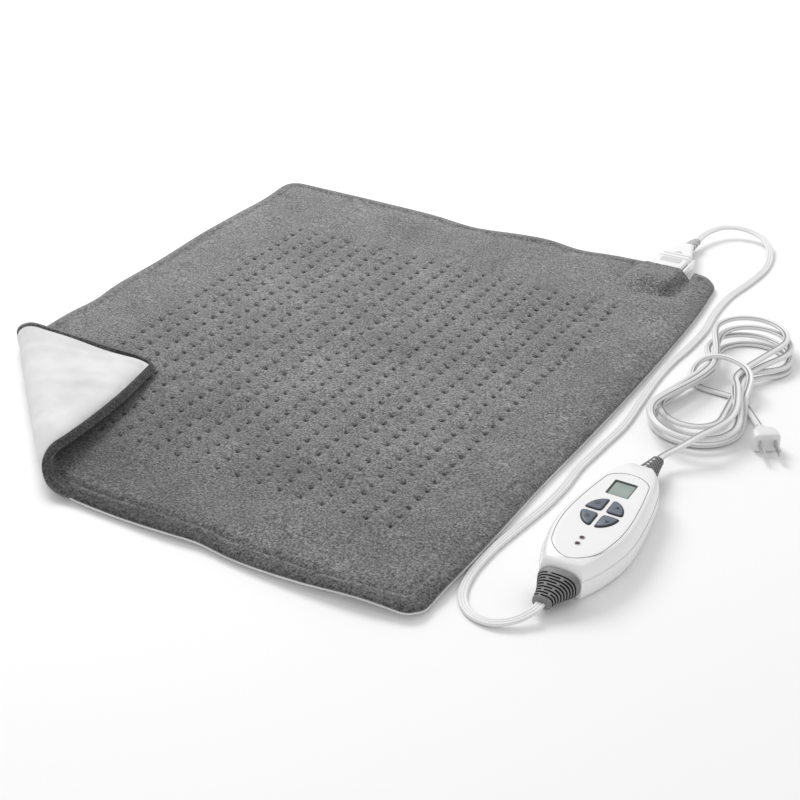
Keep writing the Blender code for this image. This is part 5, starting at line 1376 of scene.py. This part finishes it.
class PAD_OT_boots(bpy.types.Operator):
    """Slotted front strain relief and meshed rear strain relief"""
    bl_idname = "heating_pad.boots"
    bl_label = "Strain Reliefs"

    def execute(self, context):
        middle, front, length, _, _ = controller_place()
        self.front_boot(middle, front)
        self.rear_boot(middle, front + length)
        return {"FINISHED"}

    def rows(self, stations):
        """Smooth rows of share of the length, half-width and half-height."""
        wide = smooth_values([(share, half_x) for share, half_x, _ in stations], 40)
        tall = smooth_values([(share, half_z) for share, _, half_z in stations], 40)
        return [(share, half_x, half_z) for (share, half_x), (_, half_z) in zip(wide, tall)]

    def ring(self, rows, share, place, lean, way, size):
        """One ring of a boot, at a share of its length."""
        shares, wide, tall = zip(*rows)
        half_x = float(np.interp(share, shares, wide)) * MM * size
        half_z = float(np.interp(share, shares, tall)) * MM * size
        x, y, z, length = place
        ease = share * share
        return superellipse((x + lean[0] * ease, y + way * share * length, z + lean[1] * ease),
                            half_x, half_z)

    def front_boot(self, middle, wall):
        rows = self.rows(((0.0, 15.9, 10.3), (0.08, 16.4, 10.6), (0.22, 15.4, 10.0), (0.45, 12.4, 8.1),
                          (0.70, 9.2, 6.1), (1.0, 6.8, 4.6)))
        place, lean = (middle, wall + 0.5 * MM, 13.5 * MM, 25.8 * MM), (-3 * MM, -4.5 * MM)
        steps = [(0.0, 0.96), (0.02, 0.99), (0.10, 1.0), (0.20, 1.0)]
        for slot in range(9):
            start = 0.235 + slot * 0.080
            steps += [(start, 1.0), (start + 0.004, SLOT_SIZE), (start + 0.040, SLOT_SIZE),
                      (start + 0.044, 1.0)]
        steps += [(0.965, 1.0), (0.99, 0.97), (1.0, 0.90)]
        rings = []
        for number, (share, size) in enumerate(steps):
            ring = self.ring(rows, share, place, lean, -1, size)
            if size < 0.95:
                full = self.ring(rows, share, place, lean, -1, 1.0)
                ring = [full[i] if self.in_web(i, number) else point for i, point in enumerate(ring)]
            rings.append(ring)
        bm = bmesh.new()
        loft(bm, rings)
        # The slot floors are painted near-black as shade.
        self.paint_slot_shade(bm, rings, [number for number, (_, size) in enumerate(steps) if size == SLOT_SIZE])
        piece = finish_piece(bm, "slotted_boot", "boot_grey", CORD_SET, 40)
        piece.data.materials.append(finish("slot_painted_shade"))
        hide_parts("front_boot")

    def in_web(self, i, number):
        """True at the webs along the boot's top and bottom, a little to each side in turn."""
        shift = 0.05 if (number - 4) // 4 % 2 else -0.05
        angle = (i / RING_SIDES - 0.25 + shift) % 1.0
        return min(angle, 1 - angle) < 0.022 or abs(angle - 0.5) < 0.03

    def paint_slot_shade(self, bm, rings, floors):
        """The faces at the bottom of the slots take the near-black painted shade."""
        floor = {tuple(round(c, 5) for c in point) for number in floors
                 for i, point in enumerate(rings[number]) if not self.in_web(i, number)}
        for face in bm.faces:
            cut = any(tuple(round(c, 5) for c in vert.co) in floor for vert in face.verts)
            face.material_index = 1 if len(face.verts) == 4 and cut else 0

    def rear_boot(self, middle, wall):
        rows = self.rows(((0.0, 11.0, 8.9), (0.10, 10.8, 8.7), (0.35, 8.8, 7.1), (0.65, 6.8, 5.6),
                          (1.0, 5.0, 4.2)))
        length, height = 34 * MM, 13 * MM
        place, lean = (middle, wall - 1.5 * MM, height, length), (0.0, -1 * MM)
        steps = [(0.0, 0.9), (0.01, 1.0), (0.05, 1.0), (0.08, 1.0), (0.11, 0.955)]
        steps += [(0.14 + 0.04 * i, 0.955) for i in range(20)]
        steps += [(0.94, 0.97), (0.98, 0.97), (1.0, 0.88)]
        rings = [self.ring(rows, share, place, lean, 1, size) for share, size in steps]
        bm = bmesh.new()
        loft(bm, rings)
        split = wall + 0.1 * length
        for face in bm.faces:
            face.material_index = 1 if face.calc_center_median().y > split else 0
        piece = finish_piece(bm, "meshed_boot", "boot_grey", CORD_SET, 50)
        piece.data.materials.append(finish("rear_mesh"))
        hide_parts("rear_boot")
        bm = bmesh.new()
        for number in range(4):
            share = 0.26 + number * 0.17
            ring = self.ring(rows, share, place, lean, 1, 0.96)
            spot = ring[17]
            outward = (spot - Vector((middle, spot.y, height))).normalized()
            turn = outward.to_track_quat("Z", "Y").to_matrix().to_4x4()
            bmesh.ops.create_cone(bm, cap_ends=True, segments=16, radius1=1.3 * MM, radius2=1.1 * MM,
                                  depth=0.9 * MM, matrix=Matrix.Translation(spot) @ turn)
        finish_piece(bm, "boot_studs", "lamp_ring", CORD_SET, 40)


# ---------------------------------------------------------------- connector and plug

class PAD_OT_connector(bpy.types.Operator):
    """White connector with a grip panel, two raised lips, an arrow and a ribbed strain relief"""
    bl_idname = "heating_pad.connector"
    bl_label = "Connector"

    def execute(self, context):
        low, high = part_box("connector_bottom_shell")
        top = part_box("connector_top_shell")[1][2]
        middle, wide = (low[0] + high[0]) / 2, (high[0] - low[0]) / 2
        front, length, split = low[1], high[1] - low[1], high[2]
        rows = ((0.0, 1.0), (0.20, 1.0), (0.42, 1.0), (0.56, 0.94), (0.78, 0.67), (0.93, 0.47),
                (1.0, 0.42))
        outline = mirrored_outline([(front + share * length, half * wide) for share, half in rows],
                                   middle, 32)
        upper = ((0.25, split + 0.05 * MM), (0.0, split + 0.4 * MM), (0.0, top - 2.6 * MM),
                 (0.3, top - 1.3 * MM), (0.9, top - 0.5 * MM), (1.8, top - 0.08 * MM), (3.2, top))
        lower = ((3.0, low[2]), (1.6, low[2] + 0.1 * MM), (0.7, low[2] + 0.6 * MM),
                 (0.2, low[2] + 1.6 * MM), (0.0, low[2] + 3 * MM), (0.0, split - 0.4 * MM),
                 (0.25, split - 0.05 * MM))
        for name, node, levels in (("connector_top", "connector_top_shell", upper),
                                   ("connector_bottom", "connector_bottom_shell", lower)):
            rings = [at_height(offset_outline(outline, inset * MM), z) for inset, z in levels]
            lofted_piece(name, rings, "white_plastic", 45, node)
        bm = bmesh.new()
        for y in (front + 23.0 * MM, front + 29.5 * MM):
            self.bar(bm, (middle, y, top + 0.1 * MM), (wide - 1.6 * MM, 1.1 * MM, 1.0 * MM))
        finish_piece(bm, "connector_lips", "white_plastic", CORD_SET, 50)
        bm = bmesh.new()
        self.bar(bm, (middle, front + 14.5 * MM, top - 0.25 * MM),
                 (wide - 4.6 * MM, 5.6 * MM, 0.4 * MM), 8.0)
        made = bmesh.ops.create_circle(bm, segments=3, radius=5.2 * MM, cap_ends=True)["verts"]
        bmesh.ops.scale(bm, verts=made, vec=(1.0, 0.62, 1.0))
        bmesh.ops.translate(bm, verts=made, vec=(middle + 0.5 * MM, front + 35.2 * MM, top + 0.02 * MM))
        face = [f for f in bm.faces if len(f.verts) == 3 and set(f.verts) <= set(made)]
        bmesh.ops.translate(bm, verts=doubled(bm, face), vec=(0, 0, 0.25 * MM))
        finish_piece(bm, "connector_grip", "panel_grey", CORD_SET, 30)
        self.relief()
        return {"FINISHED"}

    def bar(self, bm, centre, halves, power=4.0):
        """A rounded bar or slab, longest across the connector."""
        rings = []
        for share, size in ((-1.0, 0.55), (-0.97, 0.85), (-0.9, 1.0), (0.9, 1.0), (0.97, 0.85),
                            (1.0, 0.55)):
            ring = superellipse((0, 0, 0), halves[1] * size, halves[2] * size, power, 24)
            rings.append([Vector((centre[0] + share * halves[0], centre[1] + p.x, centre[2] + p.z))
                          for p in ring])
        loft(bm, rings)

    def relief(self):
        low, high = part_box("connector_strain_relief")
        rows = smooth_values([(0.0, 6.1), (0.5, 5.7), (1.0, 4.3)], 22)
        tall = smooth_values([(0.0, 5.2), (0.5, 4.6), (1.0, 3.3)], 22)
        rings = []
        for number, ((share, half_x), (_, half_z)) in enumerate(zip(rows, tall)):
            size = 1.0 if number % 4 < 2 or number in (0, 21) else 0.93
            centre = (205 * MM + 2 * MM * share**2, low[1] + share * (high[1] - low[1]), 8.4 * MM)
            rings.append(superellipse(centre, half_x * MM * size, half_z * MM * size, 2.8, 48))
        lofted_piece("ribbed_relief", rings, "relief_mesh", 40,
                     "connector_strain_relief")


class PAD_OT_plug(bpy.types.Operator):
    """Two-blade plug at the end of the mains cord"""
    bl_idname = "heating_pad.plug"
    bl_label = "Plug"

    def execute(self, context):
        face = Vector((397.7, 29.7, 8.5)) * MM
        aim = Vector((0.5408, -0.8412, 0.0)).normalized()
        side = aim.cross(Vector((0, 0, 1)))
        turn = Matrix((side, aim, Vector((0, 0, 1)))).transposed().to_4x4()
        place = Matrix.Translation(face) @ turn
        rows = ((0.15, 0.80, 0.80), (0.0, 0.92, 0.92), (-0.5, 0.97, 0.97), (-1.4, 1.0, 1.0),
                (-5.0, 1.0, 1.0), (-8.8, 0.97, 0.99), (-11.6, 0.90, 0.97), (-13.6, 0.80, 0.92),
                (-15.0, 0.68, 0.82), (-15.8, 0.58, 0.70))
        rings = [superellipse((0, y * MM, 0), 11 * MM * wide, 8.3 * MM * tall, 5.0, 56)
                 for y, wide, tall in rows]
        lofted_piece("plug_case", self.placed(rings, place), "cord_vinyl", 50,
                     "plug_body")
        rows = [(-15.6, 6.6, 5.6), (-16.4, 6.9, 5.8), (-17.0, 6.3, 5.2)]
        for number in range(4):
            start = -17.4 - number * 1.7
            half = 5.9 - 0.55 * number
            tall = half * 0.84
            rows += [(start, half, tall), (start - 0.8, half, tall),
                     (start - 1.0, half - 0.8, tall - 0.7), (start - 1.5, half - 0.8, tall - 0.7)]
        rings = [superellipse((0, y * MM, 0), wide * MM, tall * MM, 2.6, 40) for y, wide, tall in rows]
        lofted_piece("plug_relief", self.placed(rings, place), "cord_vinyl", 40,
                     "plug_strain_relief")
        for number, x in ((1, -6.35), (2, 6.35)):
            self.blade(number, x, place)
        return {"FINISHED"}

    def placed(self, rings, place):
        return [[place @ point for point in ring] for ring in rings]

    def blade(self, number, x, place):
        bm = bmesh.new()
        bmesh.ops.create_cube(bm, size=1.0)
        bmesh.ops.scale(bm, verts=bm.verts[:], vec=(1.5 * MM, 23 * MM, 6.3 * MM))
        bmesh.ops.translate(bm, verts=bm.verts[:], vec=(x * MM, 5.5 * MM, 0))
        tips = [edge for edge in bm.edges if all(v.co.y > 0 for v in edge.verts)
                and abs(edge.verts[0].co.x - edge.verts[1].co.x) > 0.5 * MM]
        bmesh.ops.bevel(bm, geom=tips, offset=2.2 * MM, segments=5, profile=0.5, affect="EDGES",
                        material=-1)
        bmesh.ops.bevel(bm, geom=bm.edges[:], offset=0.18 * MM, segments=2, profile=0.5, affect="EDGES",
                        material=-1)
        bmesh.ops.transform(bm, verts=bm.verts[:], matrix=place)
        piece = finish_piece(bm, f"blade_{number}", "steel", CORD_SET, 30)
        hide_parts(f"plug_blade_{number}")


class PAD_PT_panel(bpy.types.Panel):
    """Lists the parts of the heating pad"""
    bl_idname = "PAD_PT_panel"
    bl_label = "Heating Pad"
    bl_space_type = "VIEW_3D"
    bl_region_type = "UI"
    bl_category = "Heating Pad"

    def draw(self, context):
        for operator in OPERATORS:
            self.layout.operator(operator.bl_idname)


GROUPS = (("pad_stage", StageSettings), ("pad_cords", CordSettings), ("pad_soft", SoftSettings))
OPERATORS = (PAD_OT_stage, PAD_OT_finishes, PAD_OT_pad_cord, PAD_OT_plug, PAD_OT_mains_cord,
             PAD_OT_plush, PAD_OT_pocket, PAD_OT_backing, PAD_OT_controller, PAD_OT_petals,
             PAD_OT_boots, PAD_OT_connector)


def register():
    for cls in [group for _, group in GROUPS] + list(OPERATORS) + [PAD_PT_panel]:
        bpy.utils.register_class(cls)
    for name, group in GROUPS:
        setattr(bpy.types.Scene, name, PointerProperty(type=group))


def unregister():
    for name, _ in GROUPS:
        delattr(bpy.types.Scene, name)
    for cls in [PAD_PT_panel] + list(OPERATORS) + [group for _, group in GROUPS]:
        bpy.utils.unregister_class(cls)


def main():
    register()
    for operator in OPERATORS:
        space, call = operator.bl_idname.split(".")
        getattr(getattr(bpy.ops, space), call)()


if __name__ == "__main__":
    main()
